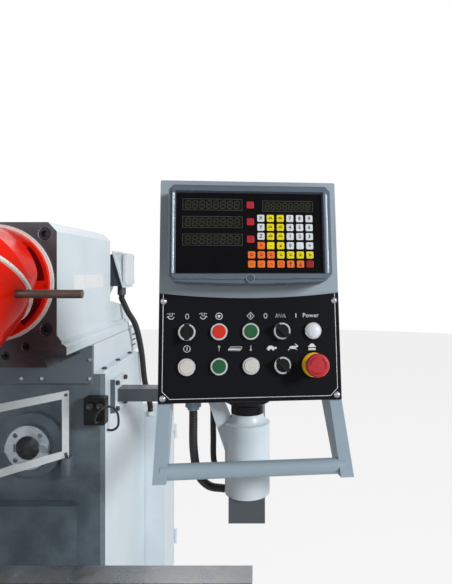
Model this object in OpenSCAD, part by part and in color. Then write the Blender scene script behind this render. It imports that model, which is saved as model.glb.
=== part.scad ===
/* [Base] */
// Width of the base across the machine
base_w = 700; // [620:10:900]
// Height of the base plinth
base_h = 150; // [120:10:180]
// Distance of the base front edge ahead of the anchor pattern centre
base_front = 760; // [720:10:900]
// Distance of the base rear edge behind the anchor pattern centre
base_rear = 560; // [500:10:700]
// Spacing of the anchor bolts across the machine
anchor_dx = 600; // [540:10:600]
// Spacing of the anchor bolts front to back
anchor_dy = 1000; // [900:10:1040]
// Diameter of the anchor bolt holes
anchor_d = 22; // [16:1:26]

/* [Column] */
// Width of the column
column_w = 418; // [380:2:480]
// Distance of the column front face ahead of the anchor pattern centre
column_front = 150; // [130:5:170]
// Height of the column top above the floor
column_top = 1456; // [1440:2:1480]
// Depth of the column at its top
column_top_depth = 423; // [400:1:480]
// Depth of the column below its slope
column_depth = 518; // [500:1:560]
// Height where the rear slope of the column ends
slope_z = 1177; // [1100:1:1250]
// Height of the horizontal spindle axis
h_spindle_z = 1250; // [1235:1:1265]

/* [Knee and table] */
// Height of the knee top above the floor at rest
knee_top = 860; // [840:5:880]
// Width of the knee
knee_w = 330; // [300:5:380]
// Length of the knee from the column ways to its front
knee_l = 664; // [640:2:700]
// Height of the knee
knee_h = 390; // [370:5:400]
// Height of the saddle between the knee and the table
saddle_h = 126; // [120:2:140]
// Length of the saddle along the knee
saddle_l = 260; // [240:5:280]
// Width of the saddle
saddle_w = 440; // [380:10:520]
// Length of the table
table_l = 1320; // [1200:10:1400]
// Width of the table
table_w = 320; // [280:5:340]
// Thickness of the table plate
table_t = 62; // [56:1:70]
// Distance of the table centre line ahead of the anchor pattern centre
table_y = 600; // [590:1:610]
// Width of the T-slot mouths
t_slot_w = 14; // [12:1:18]
// Spacing of the T-slots
t_slot_pitch = 80; // [63:1:90]
// Diameter of the table screw
table_screw_d = 28; // [24:1:32]
// Diameter of the saddle screw
saddle_screw_d = 25; // [20:1:30]
// Diameter of the knee lifting screw
lift_screw_d = 40; // [36:1:46]
// Rim diameter of the handwheels
wheel_d = 190; // [160:5:200]
// Crank radius of the knee crank
crank_r = 105; // [90:5:110]

/* [Ram] */
// Half width of the ram housing
ram_half = 156; // [150:1:160]
// Height of the ram top above the floor
ram_top = 1890; // [1870:2:1910]
// Distance of the ram front face ahead of the anchor pattern centre
ram_front = 371; // [360:1:390]
// Distance of the ram housing rear face behind the anchor pattern centre
ram_rear = 90; // [60:5:120]
// Height of the dovetail guide on the column top
guide_h = 91; // [85:1:100]
// Depth of the ram dovetail
ram_tail_h = 31; // [28:1:36]
// Half width of the ram dovetail at its root
ram_tail_half = 117; // [112:1:122]
// Diameter of the ram motor
motor_d = 200; // [180:5:215]
// Length of the ram motor
motor_l = 250; // [230:10:300]

/* [Head] */
// Height of the first swivel axis
swivel_z = 1734; // [1730:1:1740]
// Radius of the first swivel flange
flange_r = 143; // [138:1:146]
// Thickness of the scale ring at the ram face
ring_t = 9; // [6:1:12]
// Radius of the first scale ring
ring_r = 150; // [148:1:152]
// Radius of the head body at the second swivel
dome_r = 142; // [136:1:144]
// Radius of the head body round the spindle
nose_r = 118; // [108:1:120]
// Distance of the vertical spindle ahead of the second swivel centre
spindle_dy = 89; // [84:1:94]
// Height of the vertical spindle nose
nose_z = 1420; // [1416:1:1435]
// Diameter of the turning bar
bar_d = 19.5; // [14:0.5:22]
// Reach of the turning bar from the head axis
bar_reach = 283; // [260:1:300]

/* [Pendant arm] */
// Width of the square arm tube
arm_w = 60; // [50:5:70]
// Height of the arm tube
arm_h = 40; // [35:5:50]
// Underside of the arm above the floor
arm_z = 1351; // [1345:1:1356]
// Distance of the pendant swivel axis from the machine centre
swivel_x = 660; // [640:5:680]
// Distance of the pendant swivel axis ahead of the anchor pattern centre
pendant_y = 821; // [800:1:840]

/* [Pendant] */
// Width of the pendant box
box_w = 300; // [296:1:320]
// Height of the pendant box
box_h = 370; // [368:1:390]
// Depth of the pendant box
box_d = 76; // [70:1:90]
// Sheet thickness of the pendant box
sheet = 2.5; // [2:0.5:4]
// Backward tilt of the pendant
tilt = 8; // [4:1:12]
// Turn of the pendant towards the operator
yaw = 5.8; // [0:0.1:10]
// Width of the digital readout housing
dro_w = 264; // [250:1:270]
// Height of the digital readout housing
dro_h = 161; // [155:1:165]
// Depth of the digital readout housing
dro_d = 45; // [35:1:55]
// Diameter of the control holes
hole_d = 22.5; // [22.5:0.1:23.5]
// Spacing of the control columns
control_pitch = 52; // [46:1:54]
// Travel of the push buttons
push = 3.5; // [2:0.5:3.5]

/* [Guard and cabinet] */
// Length of the swinging guard
guard_l = 330; // [300:5:345]
// Height of the swinging guard
guard_h = 196; // [170:2:200]
// Width of the aluminium guard frame
guard_frame_w = 22; // [20:1:30]
// Width of the electrical cabinet
cabinet_w = 500; // [450:10:560]
// Height of the electrical cabinet
cabinet_h = 700; // [600:10:760]
// Depth of the electrical cabinet
cabinet_d = 196; // [160:2:240]

/* [Hidden] */
$fn = 64;

slide_gap = 0.3;
run_gap = 0.05;
seat_gap = 0.2;
join = 1;

// ---- helpers ----

// Prism of an XZ outline between two depths.
module xz_prism(y0, y1, outline)
  translate([0, y1, 0]) rotate([90, 0, 0]) linear_extrude(y1 - y0) polygon(outline);

// Prism of a YZ outline between two widths.
module yz_prism(x0, x1, outline)
  translate([x0, 0, 0]) rotate([90, 0, 90]) linear_extrude(x1 - x0) polygon(outline);

// Box between two corners.
module block(a, b)
  translate(a) cube(b - a);

// Rounded plate centred on the origin, made of true arcs.
module round_plate(w, l, h, r)
  linear_extrude(h) round_square(w, l, r);

module round_square(w, l, r) {
  square([w - 2 * r, l], center = true);
  square([w, l - 2 * r], center = true);
  for (x = [-1, 1], y = [-1, 1])
    translate([x * (w / 2 - r), y * (l / 2 - r)]) circle(r, $fn = 32);
}

// Cylinders along the machine's own axes.
module rod_x(x0, x1, y, z, d)
  translate([x0, y, z]) rotate([0, 90, 0]) cylinder(h = x1 - x0, d = d);

module rod_y(x, y0, y1, z, d)
  translate([x, y1, z]) rotate([90, 0, 0]) cylinder(h = y1 - y0, d = d);

module rod_z(x, y, z0, z1, d)
  translate([x, y, z0]) cylinder(h = z1 - z0, d = d);

// Mirrors a right-hand half outline to the whole.
function whole(half) =
  concat(half, [for (i = [len(half) - 1 : -1 : 0]) [-half[i][0], half[i][1]]]);

// Socket cap screw with its seat at z = 0 and its head above.
module cap_screw(d, grip) {
  difference() {
    cylinder(h = d, d = 1.5 * d, $fn = 32);
    translate([0, 0, d / 2]) cylinder(h = d, d = 0.95 * d, $fn = 6);
  }
  translate([0, 0, -grip]) cylinder(h = grip + join, d = d, $fn = 24);
}

// ---- sweeping a cord along its route ----

function unit(v) = v / norm(v);

// Point on a smooth curve through the route between points i and i + 1.
function on_route(p, i, t) =
  let (
    n = len(p) - 1,
    a = i > 0 ? p[i - 1] : 2 * p[0] - p[1],
    b = p[i],
    c = p[i + 1],
    d = i + 2 <= n ? p[i + 2] : 2 * p[n] - p[n - 1]
  )
  0.5 * ((2 * b) + (c - a) * t + (2 * a - 5 * b + 4 * c - d) * t * t
         + (3 * b - a - 3 * c + d) * t * t * t);

function route_points(p, per_span) = concat(
  [for (i = [0 : len(p) - 2], k = [0 : per_span - 1]) on_route(p, i, k / per_span)],
  [p[len(p) - 1]]
);

function heading(q, i) =
  let (n = len(q) - 1)
  unit(i == 0 ? q[1] - q[0] : i == n ? q[n] - q[n - 1] : q[i + 1] - q[i - 1]);

// Tube of one polyhedron: a ring of corners at every point of the curve.
module cord(route, d, sides, per_span, side_axis) {
  q = route_points(route, per_span);
  n = len(q);
  corners = [
    for (i = [0 : n - 1])
      let (
        t = heading(q, i),
        u = unit(cross(t, side_axis)),
        v = cross(t, u)
      )
      for (k = [0 : sides - 1])
        q[i] + d / 2 * (cos(360 * k / sides) * u + sin(360 * k / sides) * v)
  ];
  walls = [
    for (i = [0 : n - 2], k = [0 : sides - 1])
      let (m = (k + 1) % sides)
      [i * sides + k, i * sides + m, (i + 1) * sides + m, (i + 1) * sides + k]
  ];
  start = [[for (k = [sides - 1 : -1 : 0]) k]];
  end = [[for (k = [0 : sides - 1]) (n - 1) * sides + k]];
  polyhedron(corners, concat(walls, start, end), convexity = 10);
}

// ---- derived sizes ----

column_half = column_w / 2;
column_y = -column_front;
column_rear_top = column_y + column_top_depth;
column_rear = column_y + column_depth;

// Knee ways on the column front.
way_d = 44;
way_root = 118;
way_half = way_root + 26;
way_bottom = base_h + 60;
way_top = column_top - 376;

// Knee and saddle guides.
knee_y1 = column_y - way_d - slide_gap;
knee_y0 = knee_y1 - knee_l;
knee_z0 = knee_top - knee_h;
knee_half = knee_w / 2;
knee_tail_h = 30;
knee_tail_root = 112;
knee_tail_half = knee_tail_root + 16;
trough_half = 32;
trough_z = knee_top - 72;
saddle_screw_z = knee_top - 44;
knee_roof_z = trough_z - 90;
knee_wall = 45;
knee_front_wall = 100;

saddle_z0 = knee_top - knee_tail_h + slide_gap;
saddle_top = knee_top + slide_gap + saddle_h;
table_tail_h = 28;
table_tail_root = 96;
table_tail_half = table_tail_root + 15;
table_z0 = saddle_top + slide_gap;
table_top = table_z0 + table_t;
table_screw_z = table_z0 - table_tail_h - table_screw_d / 2 - 12;
table_cy = -table_y;
bracket_t = 36;
hub_l = 38;
slot_neck_h = 22;
slot_foot_h = 11;
slot_foot_w = t_slot_w + 10;

lift_y = -470;
lift_collar_h = 15;
pedestal_h = 300;
pedestal_top = base_h + pedestal_h;
lift_depth = 210;
pedestal_d = 110;
lift_low = pedestal_top - lift_depth;
crank_x = 110;
crank_z = knee_z0 + 130;

// Ram slide.
guide_z1 = column_top + guide_h;
guide_half = 180;
guide_y1 = 242.7;
ram_z0 = guide_z1 + slide_gap;
tail_z = ram_z0 - ram_tail_h;
tail_spread = 15;
ram_flange_z = ram_z0 + 28;
ram_foot_z = ram_z0 + 38;
ram_slide_rear = 243;
rear_half = 182;
rear_cover_y1 = 378;
ram_cap_y1 = 340;
cradle_z0 = ram_foot_z + 75.7;
cradle_z1 = ram_foot_z + 37.7;
slide_step = 2.5;
flange_screws = [[75, 22], [24, -1]];
ram_corner = 30;
ram_y = -ram_front;
ram_screw_d = 20;
ram_face_screws = [
  for (s = [-1, 1]) [s * (ram_half - 32), ram_top - ram_corner],
  for (s = [-1, 1]) [s * (ram_half - 27), ram_foot_z + ram_corner - 1]
];

// Fasteners of the guide and its front plate.
ledge_t = 8;
ledge_sink = 5;
ledge_ys = [-108, 41, 190];
front_plate_t = 12;
front_plate_z0 = column_top - 25;
front_plate_z1 = guide_z1 - 6;
front_screws = concat(
  [for (x = [-172, -30, 30, 172]) [x, front_plate_z0 + 15]],
  [for (x = [-172, 172]) [x, front_plate_z1 - 39]]
);

// Head: the second swivel plane stands at 45 degrees through swivel_2.
ring_y = ram_y - ring_t;
swivel_2 = [0, ram_y - 140, swivel_z - 9];
spindle_y = swivel_2[1] - spindle_dy;
scale_2_t = 9;
flange_t = 13;
window_r = 97;
window_w = 56;
nut_r = 114;
nose_ball_z = swivel_2[2] - 75;
housing_foot_z = nose_z + 40;
spindle_shaft_d = 76;
v_nose_pcd = 66.7;
h_nose_pcd = 101.6;
nose_hole_d = 14;
spindle_top_z = nose_z + 190;
bar_z = 1713.5;
bar_y = ram_y - 174;

terminal_y = ram_rear + 115;
terminal_z = swivel_z + 33;
terminal_w = 124;
seat_top = [motor_d / 2 + 45, terminal_z + 66];
seat_low = [motor_d / 2 + 84, terminal_z - 64];
lid_x = motor_d / 2 + 88;
lid_z0 = terminal_z - 55;
lid_z1 = terminal_z + 60;

// Pendant.
pendant_at = [swivel_x + 5, -pendant_y - 12, 1736];
box_half = box_w / 2;
box_low = -box_h / 2;
plate_t = 3;
plate_top = -7.6;
plate_dip = 8.7;
row_1 = -71.5;
row_2 = -127.5;
collar_top = 1526;
collar_foot_r = 38;
collar_z0 = arm_z + arm_h + slide_gap;
post_d = 40;
post_top = 1500;
bezel_h = 5.5;
bezel_r = 14;
cap_r = 11;
stem_r = 9;
grip_l = 26;
estop_r = 20;

// Digital readout.
dro_x = -0.8;
dro_low = 4;
dro_corner = 10;
dro_bulge = 5;
dro_half = dro_w / 2;
dro_top = dro_low + dro_h;
film_depth = 6;
film_t = 3;
film_x0 = -121;
film_x1 = 117;
film_z0 = 21;
film_z1 = 152.5;
film_slope = 2.5;
key_half = 5.6;
key_columns = [0, 15.7, 31.3, 47.6, 63.5, 79.5, 95.4];
key_rows = [111, 96, 81, 65.7, 50.4, 35.4];
display_tops = [142.4, 113.4, 84.4];

// Guard.
guard_at = [104, column_y - 22, 1215];
guard_angle = -129.3;
guard_t = 4;
guard_edge = 8;
guard_pin_d = 12;
guard_boss_h = 50;

cabinet_x = 40;
cabinet_y0 = column_rear + 4;
cabinet_z0 = slope_z + 3 - cabinet_h;
cabinet_top = cabinet_z0 + cabinet_h;
door_t = 18;
hinge_r = 6.5;
hinge_h = 30;
hinge_pin_d = 7;
hinge_at = [cabinet_x + cabinet_w / 2 + 8, cabinet_y0 + cabinet_d + 9];
hinge_zs = [cabinet_z0 + 90, cabinet_top - 90 - 2 * hinge_h];

bracket_x1 = column_half + 15;
arm_y1 = 0;
arm_y0 = arm_y1 - arm_w;

// Routes of the cords, through their middle.
motor_route = [
  [164, 205, 1675.6], [164, 205, 1669], [164, 205, 1662], [171, 206, 1646], [185, 212, 1612],
  [210, 226, 1560],
  [222, 262, 1464], [224, 308, 1342], [226, 376, 1250], [226, 400, 1214], [226, 400, 1205],
  [226, 400, 1196.4]
];
control_route = [
  [567, -812, 1527.6], [567, -812, 1518], [567, -812, 1508], [567, -808, 1460], [572, -790, 1410],
  [588, -765, 1378], [612, -760, 1371], [621, -760, 1371], [629.6, -760, 1371]
];
signal_route = [
  [597, -772, 1540.7], [597, -772, 1530], [597, -772, 1520], [597, -768, 1470], [596, -745, 1415],
  [604, -705, 1380], [616, -695, 1371], [623, -695, 1371], [629.6, -695, 1371]
];
switch_route = [
  [204, -197.3, 1328], [204, -212, 1329], [206, -227, 1342], [213, -232, 1360], [229, -224, 1374],
  [246, -198, 1370], [253, -162, 1340], [246, -132, 1298], [228, -120, 1280], [209.5, -120, 1280]
];

// ---- frame ----

module base() color("slategray") difference() {
  union() {
    translate([0, (base_rear - base_front) / 2, 0])
      round_plate(base_w, base_rear + base_front, base_h, 40);
    rod_z(0, lift_y, base_h - join, pedestal_top, pedestal_d);
    translate([0, lift_y, base_h - join])
      cylinder(h = 40, r1 = pedestal_d / 2 + 30, r2 = pedestal_d / 2);
  }
  // Coolant gutter round the column and the pedestal.
  difference() {
    translate([0, (base_rear - base_front) / 2, base_h - 30])
      round_plate(base_w - 50, base_rear + base_front - 50, 40, 20);
    block([-column_half - 20, column_y - 40, 0], [column_half + 20, base_rear, base_h]);
    rod_z(0, lift_y, 0, base_h + 20, pedestal_d + 60);
    for (x = [-1, 1], y = [-1, 1])
      rod_z(x * anchor_dx / 2, y * anchor_dy / 2, 0, base_h, 80);
  }
  rod_z(0, lift_y, 12, pedestal_top + 1, lift_screw_d + 2 * seat_gap);
  for (x = [-1, 1], y = [-1, 1])
    rod_z(x * anchor_dx / 2, y * anchor_dy / 2, -1, base_h + 1, anchor_d);
}

// Male dovetail outline on the column front, as XY points.
way_outline = [
  [way_root, 1], [way_root, 0], [way_half, -way_d], [-way_half, -way_d], [-way_root, 0],
  [-way_root, 1]
];

module column() color("lightsteelblue") difference() {
  union() {
    yz_prism(-column_half, column_half, [
      [column_y, base_h], [column_rear, base_h], [column_rear, slope_z],
      [column_rear_top, column_top], [column_y, column_top]
    ]);
    translate([0, column_y, way_bottom]) linear_extrude(way_top - way_bottom) polygon(way_outline);
    rod_y(0, column_y - 18, column_y + join, h_spindle_z, 190);
    // Hinge boss of the guard.
    translate([guard_at[0], guard_at[1], guard_at[2] - guard_boss_h - seat_gap])
      cylinder(h = guard_boss_h, d = 30);
    block([guard_at[0] - 12, guard_at[1], guard_at[2] - guard_boss_h - seat_gap],
          [guard_at[0] + 12, column_y + join, guard_at[2] - seat_gap]);
  }
  rod_y(0, column_y - 30, column_y + 140, h_spindle_z, 110 + 2 * run_gap);
  rod_z(guard_at[0], guard_at[1], guard_at[2] - 45, guard_at[2] + 5, guard_pin_d + 2 * run_gap);
  // Chamfers of the front corners.
  for (s = [-1, 1])
    translate([s * column_half, column_y, base_h - 1]) rotate([0, 0, 45])
      translate([-8, -8, 0]) cube([16, 16, column_top - base_h + 2]);
}

// Right half of the ram dovetail with a chosen slack, as XZ points.
function tail_half_outline(slack) = [
  [ram_tail_half + tail_spread + slack, tail_z - slack],
  [ram_tail_half + slack, ram_z0 - slack],
  [ram_tail_half + slack, ram_z0 + 1]
];

module ram_guide() color("lightsteelblue") difference() {
  union() {
    block([-guide_half, column_y, column_top], [guide_half, guide_y1, guide_z1]);
    // Foot ledge.
    block([-column_half, column_y, column_top], [column_half, guide_y1, column_top + ledge_t]);
  }
  for (s = [-1, 1], y = ledge_ys) {
    rod_z(s * (column_half - 12), y, column_top - 1, column_top + ledge_t, 10 + 2 * seat_gap);
    rod_z(s * (column_half - 12), y, column_top + ledge_t - ledge_sink, column_top + ledge_t + 1, 17);
  }
  xz_prism(column_y - 1, guide_y1 + 1, whole(tail_half_outline(slide_gap)));
  for (s = [-1, 1])
    translate([s * guide_half, column_y - 1, guide_z1]) rotate([0, 45, 0])
      translate([-3, 0, -3]) cube([6, guide_y1 - column_y + 2, 6]);
}

module guide_front_plate() color("dimgray") difference() {
  block([-guide_half + 2, column_y - front_plate_t, front_plate_z0],
        [guide_half - 2, column_y, front_plate_z1]);
  for (p = front_screws)
    rod_y(p[0], column_y - front_plate_t - 1, column_y - 1, p[1], 6 + 2 * seat_gap);
  xz_prism(column_y - front_plate_t - 1, column_y + 1, whole(tail_half_outline(1)));
  rod_y(137, column_y - front_plate_t - 1, column_y - 4, front_plate_z1 - 19, 7);
}

module rear_cover() color("lightsteelblue") difference() {
  y0 = guide_y1 + slide_gap;
  block([-rear_half, y0, column_top], [rear_half, rear_cover_y1, guide_z1]);
  block([-rear_half + 3, y0 - 1, column_top + 3], [rear_half - 3, rear_cover_y1 - 3, guide_z1 + 1]);
  for (s = [-1, 1], z = [0 : 2])
    block([s * rear_half - 5, y0 + 40, column_top + 20 + 20 * z],
          [s * rear_half + 5, y0 + 100, column_top + 26 + 20 * z]);
}

module frame_bolts() color("dimgray") {
  // Ledge bolts of the guide.
  for (s = [-1, 1], y = ledge_ys)
    translate([s * (column_half - 12), y, column_top + ledge_t - ledge_sink])
      cap_screw(10, ledge_t - ledge_sink);
  // Screws of the front plate.
  for (p = front_screws)
    translate([p[0], column_y - front_plate_t, p[1]]) rotate([90, 0, 0]) cap_screw(6, 10);
  // Bolts of the arm bracket.
  for (y = [-76, 15], z = [arm_z - 18, arm_z + arm_h + 23])
    translate([bracket_x1, y, z]) rotate([0, 90, 0]) cap_screw(10, 14);
}

module arm_bracket() color("lightsteelblue") difference() {
  block([column_half, -88, arm_z - 30], [bracket_x1, 27, arm_z + arm_h + 35]);
  for (y = [-76, 15], z = [arm_z - 18, arm_z + arm_h + 23])
    rod_x(column_half - 1, bracket_x1 + 1, y, z, 10 + 2 * seat_gap);
}

module pendant_arm() color("lightsteelblue") {
  x1 = swivel_x + arm_w / 2;
  y0 = -pendant_y - arm_w / 2;
  difference() {
    union() {
      block([bracket_x1, arm_y0, arm_z], [x1, arm_y1, arm_z + arm_h]);
      block([x1 - arm_w, y0, arm_z], [x1, arm_y1, arm_z + arm_h]);
    }
    // Mitred outer corner.
    translate([x1, arm_y1, arm_z - 1]) rotate([0, 0, 45])
      translate([-14, -14, 0]) cube([28, 28, arm_h + 2]);
  }
  rod_z(swivel_x, -pendant_y, arm_z + arm_h - join, post_top, post_d);
}

module switch_box() color([0.1, 0.1, 0.11]) difference() {
  union() {
    translate([191, column_y, 1353]) rotate([90, 0, 0]) round_plate(62, 80, 35, 4);
    for (x = [180, 209])
      rod_y(x, column_y - 44, column_y - 30, 1370, 20);
    rod_y(switch_route[0][0], column_y - 47, column_y - 30, switch_route[0][2], 12);
  }
  for (x = [180, 209])
    rod_y(x, column_y - 50, column_y - 40, 1370, 14);
}

module electrical_cabinet() color("lightsteelblue") difference() {
  y1 = cabinet_y0 + cabinet_d;
  x0 = cabinet_x - cabinet_w / 2;
  x1 = cabinet_x + cabinet_w / 2;
  union() {
    block([x0, cabinet_y0, cabinet_z0], [x1, y1, cabinet_top]);
    // Mounting rails to the column.
    for (x = [-150, 150])
      block([x - 20, column_rear, cabinet_z0 + 60], [x + 20, cabinet_y0 + join, cabinet_top - 60]);
    // Gland of the motor conduit.
    rod_z(226, 400, cabinet_top - join, cabinet_top + 16, 32);
    // Fixed hinge knuckles with their pins.
    for (z = hinge_zs) {
      block([x1 - join, y1 - 26, z], [x1 + 3, y1 - 2, z + hinge_h]);
      block([x1 + 0.5, y1 - 26, z], [x1 + 3, hinge_at[1], z + hinge_h]);
      rod_z(hinge_at[0], hinge_at[1], z, z + hinge_h, 2 * hinge_r);
      rod_z(hinge_at[0], hinge_at[1], z + hinge_h - join, z + 2 * hinge_h - 2, hinge_pin_d);
    }
  }
  block([x0 + 2.5, cabinet_y0 + 2.5, cabinet_z0 + 2.5], [x1 - 2.5, y1 + 1, cabinet_top - 2.5]);
}

module cabinet_door() color("lightsteelblue") {
  y1 = cabinet_y0 + cabinet_d + slide_gap;
  x0 = cabinet_x - cabinet_w / 2;
  x1 = cabinet_x + cabinet_w / 2;
  difference() {
    block([x0, y1, cabinet_z0], [x1, y1 + door_t, cabinet_top]);
    block([x0 + 20, y1 - 1, cabinet_z0 + 20], [x1 - 20, y1 + door_t - 2.5, cabinet_top - 20]);
  }
  // Swinging hinge knuckles.
  for (z = hinge_zs)
    difference() {
      union() {
        block([x1 - join, hinge_at[1] - 4, z + hinge_h + slide_gap],
              [hinge_at[0], hinge_at[1] + 4, z + 2 * hinge_h]);
        rod_z(hinge_at[0], hinge_at[1], z + hinge_h + slide_gap, z + 2 * hinge_h, 2 * hinge_r);
      }
      rod_z(hinge_at[0], hinge_at[1], z + hinge_h, z + 2 * hinge_h - 1.5, hinge_pin_d + 2 * run_gap);
    }
  // Quarter turn latch.
  rod_y(x0 + 40, y1 + door_t - join, y1 + door_t + 14, cabinet_z0 + cabinet_h / 2, 30);
}

module horizontal_spindle() color("silver") difference() {
  union() {
    rod_y(0, column_y - 18, column_y + 125, h_spindle_z, 110);
    rod_y(0, column_y - 44, column_y - 18 - slide_gap, h_spindle_z, 128.6);
    rod_y(0, column_y - 20, column_y - 17, h_spindle_z, 110);
    for (s = [-1, 1])
      block([s * 50 - 13, column_y - 52, h_spindle_z - 12], [s * 50 + 13, column_y - 40, h_spindle_z + 12]);
  }
  translate([0, column_y - 60, h_spindle_z]) rotate([-90, 0, 0])
    cylinder(h = 120, d1 = 74.5, d2 = 39.5);
  for (a = [45 : 90 : 315])
    translate([0, column_y - 45, h_spindle_z]) rotate([-90, 0, 0]) rotate([0, 0, a])
      translate([h_nose_pcd / 2, 0, 0]) cylinder(h = 20, d = nose_hole_d);
}

// ---- ram ----

module ram() color("lightsteelblue") difference() {
  union() {
    // Slide with flange and dovetail, a step behind the housing.
    xz_prism(ram_y + slide_step, ram_slide_rear, whole([
      [ram_tail_half + tail_spread, tail_z], [ram_tail_half, ram_z0],
      [guide_half, ram_z0], [guide_half, ram_z0 + 21], [guide_half - 8, ram_flange_z],
      [ram_half + 11, ram_flange_z], [ram_half + 11, ram_foot_z]
    ]));
    // Gear housing with chamfered top edges.
    xz_prism(ram_y, ram_rear, whole([
      [ram_half + 11, ram_foot_z - join], [ram_half + 11, ram_foot_z], [ram_half, ram_foot_z + 14],
      [ram_half, ram_top - 24], [ram_half - 22, ram_top]
    ]));
    // Motor cradle and rear cap, sloping down to the rear.
    yz_prism(-ram_half, ram_half, [
      [ram_rear - join, ram_z0 + join], [ram_slide_rear, ram_z0 + join], [ram_slide_rear, ram_z0],
      [ram_cap_y1, ram_z0], [ram_cap_y1, cradle_z1], [ram_rear - join, cradle_z0]
    ]);
  }
  // Counterbores of the face screws.
  for (p = ram_face_screws)
    rod_y(p[0], ram_y - 1, ram_y + 22, p[1], 33);
  for (s = [-1, 1], p = flange_screws)
    rod_y(s * p[0], ram_y - 1, ram_y + 16, ram_z0 + p[1], 21);
  // Chamfer of the rear top edge.
  translate([-ram_half, ram_rear, ram_top]) rotate([45, 0, 0])
    translate([-1, -10, -10]) cube([2 * ram_half + 2, 20, 20]);
  // Room for the motor and its flange.
  rod_y(0, ram_rear, ram_cap_y1 + 1, swivel_z, motor_d + 8);
  rod_y(0, ram_rear, ram_rear + 18, swivel_z, motor_d + 38);
  // Seam of the rear cap.
  for (s = [-1, 1])
    block([s * ram_half - 1.5, ram_slide_rear - 1, ram_foot_z + 1],
          [s * ram_half + 1.5, ram_slide_rear + 1, ram_top]);
}

module ram_screws() color("dimgray") {
  for (p = ram_face_screws)
    translate([p[0], ram_y + 22, p[1]]) rotate([90, 0, 0]) cap_screw_head(ram_screw_d);
  for (s = [-1, 1], p = flange_screws)
    translate([s * p[0], ram_y + 16, ram_z0 + p[1]]) rotate([90, 0, 0]) cap_screw_head(12);
}

module cap_screw_head(d) difference() {
  cylinder(h = d, d = 1.5 * d, $fn = 32);
  translate([0, 0, d / 2]) cylinder(h = d, d = 0.95 * d, $fn = 6);
}

module ram_scale_ring() color("silver") difference() {
  rod_y(0, ring_y, ram_y, swivel_z, 2 * ring_r);
  rod_y(0, ring_y - 1, ram_y + 1, swivel_z, 2 * flange_r - 40);
}

module ram_motor() color("lightsteelblue") {
  y0 = ram_rear;
  rod_y(0, y0, y0 + 16, swivel_z, motor_d + 30);
  difference() {
    rod_y(0, y0 + 16 - join, y0 + motor_l, swivel_z, motor_d);
    // Cooling fins.
    for (a = [0 : 12 : 348])
      translate([0, y0 + 40, swivel_z]) rotate([0, a, 0])
        translate([motor_d / 2 - 7, 0, -3]) cube([20, motor_l - 110, 6]);
    // Air slots of the fan cowl.
    for (a = [0 : 30 : 330])
      translate([0, y0 + motor_l - 4, swivel_z]) rotate([0, a, 0])
        translate([30, 0, -3]) cube([50, 10, 6]);
  }
}

module terminal_box() color("lightsteelblue") {
  y0 = terminal_y - terminal_w / 2;
  y1 = terminal_y + terminal_w / 2;
  // Pedestal on the motor body, cut off by a sloping seat.
  difference() {
    xz_prism(y0 + 12, y1 - 12, [
      [motor_d / 2 - 20, terminal_z + 23], seat_top + [2, -6], seat_low + [-2, 6],
      [motor_d / 2 - 20, seat_low[1] + 6]
    ]);
    rod_y(0, 100, 350, swivel_z, motor_d + 2 * seat_gap);
  }
  // Rim on the seat.
  xz_prism(y0, y1, [seat_top, seat_low, seat_low + [6, 2], seat_top + [6, 2]]);
  // Wedge body between the rim and the upright lid.
  xz_prism(y0 + 7, y1 - 7, [
    seat_top + [4, -4], seat_low + [4, 5], [lid_x + join, lid_z0 + 3],
    [lid_x + join, lid_z1 - 6], [lid_x - 6, lid_z1 + 1]
  ]);
  translate([lid_x - 2, terminal_y, (lid_z0 + lid_z1) / 2]) rotate([0, 90, 0])
    round_plate(lid_z1 - lid_z0, terminal_w, 8, 16);
  for (y = [y0 + 11, y1 - 11], z = [lid_z0 + 11, lid_z1 - 11])
    translate([lid_x + 6 - join, y, z]) rotate([0, 90, 0]) cylinder(h = 3 + join, d = 8, $fn = 24);
  // Gland.
  rod_z(motor_route[0][0], terminal_y, terminal_z - 91, seat_low[1] + 9, 30);
}

// ---- head ----

// Turns a child's +Z axis to the second swivel axis, forwards and down.
module on_swivel_2()
  translate(swivel_2) rotate([135, 0, 0]) children();

module first_swivel() color("crimson") difference() {
  union() {
    rod_y(0, ring_y - flange_t, ring_y, swivel_z, 2 * flange_r);
    intersection() {
      rod_y(0, ring_y - 330, ring_y, swivel_z, 2 * flange_r);
      on_swivel_2() translate([0, 0, -400]) cylinder(h = 400 - scale_2_t, r = dome_r);
    }
  }
  // Nut windows beside the elbow.
  for (s = [0, 1], a = [-54, 2])
    translate([0, ring_y - flange_t, swivel_z]) rotate([90, 0, 0]) mirror([s, 0, 0])
      window(a, 44);
  // Oil hole in the flange.
  rod_y(flange_r - 10, ring_y - flange_t - 1, ring_y - flange_t + 5, swivel_z - 7, 7);
}

// Curved window from an angle over a span, open towards +Z.
module window(from, span)
  rotate([0, 0, from]) rotate_extrude(angle = span, $fn = 96)
    translate([window_r, 0]) square([60, window_w]);

module swivel_nuts() color("dimgray")
  for (s = [0, 1], a = [-32, 22])
    translate([0, ring_y - flange_t, swivel_z]) rotate([90, 0, 0]) mirror([s, 0, 0])
      rotate([0, 0, a]) translate([nut_r, 0, 0]) {
        cylinder(h = 12, d = 25, $fn = 6);
        cylinder(h = 20, d = 14, $fn = 24);
      }

module second_scale_ring() color("ivory")
  on_swivel_2() translate([0, 0, -scale_2_t]) cylinder(h = scale_2_t - slide_gap, r = dome_r + 6);

module head_body() color("crimson") difference() {
  union() {
    on_swivel_2() head_form();
    translate([0, spindle_y, housing_foot_z])
      cylinder(h = nose_ball_z - housing_foot_z - 40, r1 = nose_r - 36, r2 = nose_r - 6);
    rod_z(0, spindle_y, housing_foot_z - 18, housing_foot_z + join, 2 * nose_r - 60);
  }
  rod_z(0, spindle_y, nose_z - 1, spindle_top_z + 5, spindle_shaft_d + 2 * run_gap);
  rod_x(bar_reach - 200, bar_reach, bar_y, bar_z, bar_d + 2 * run_gap);
}

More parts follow.
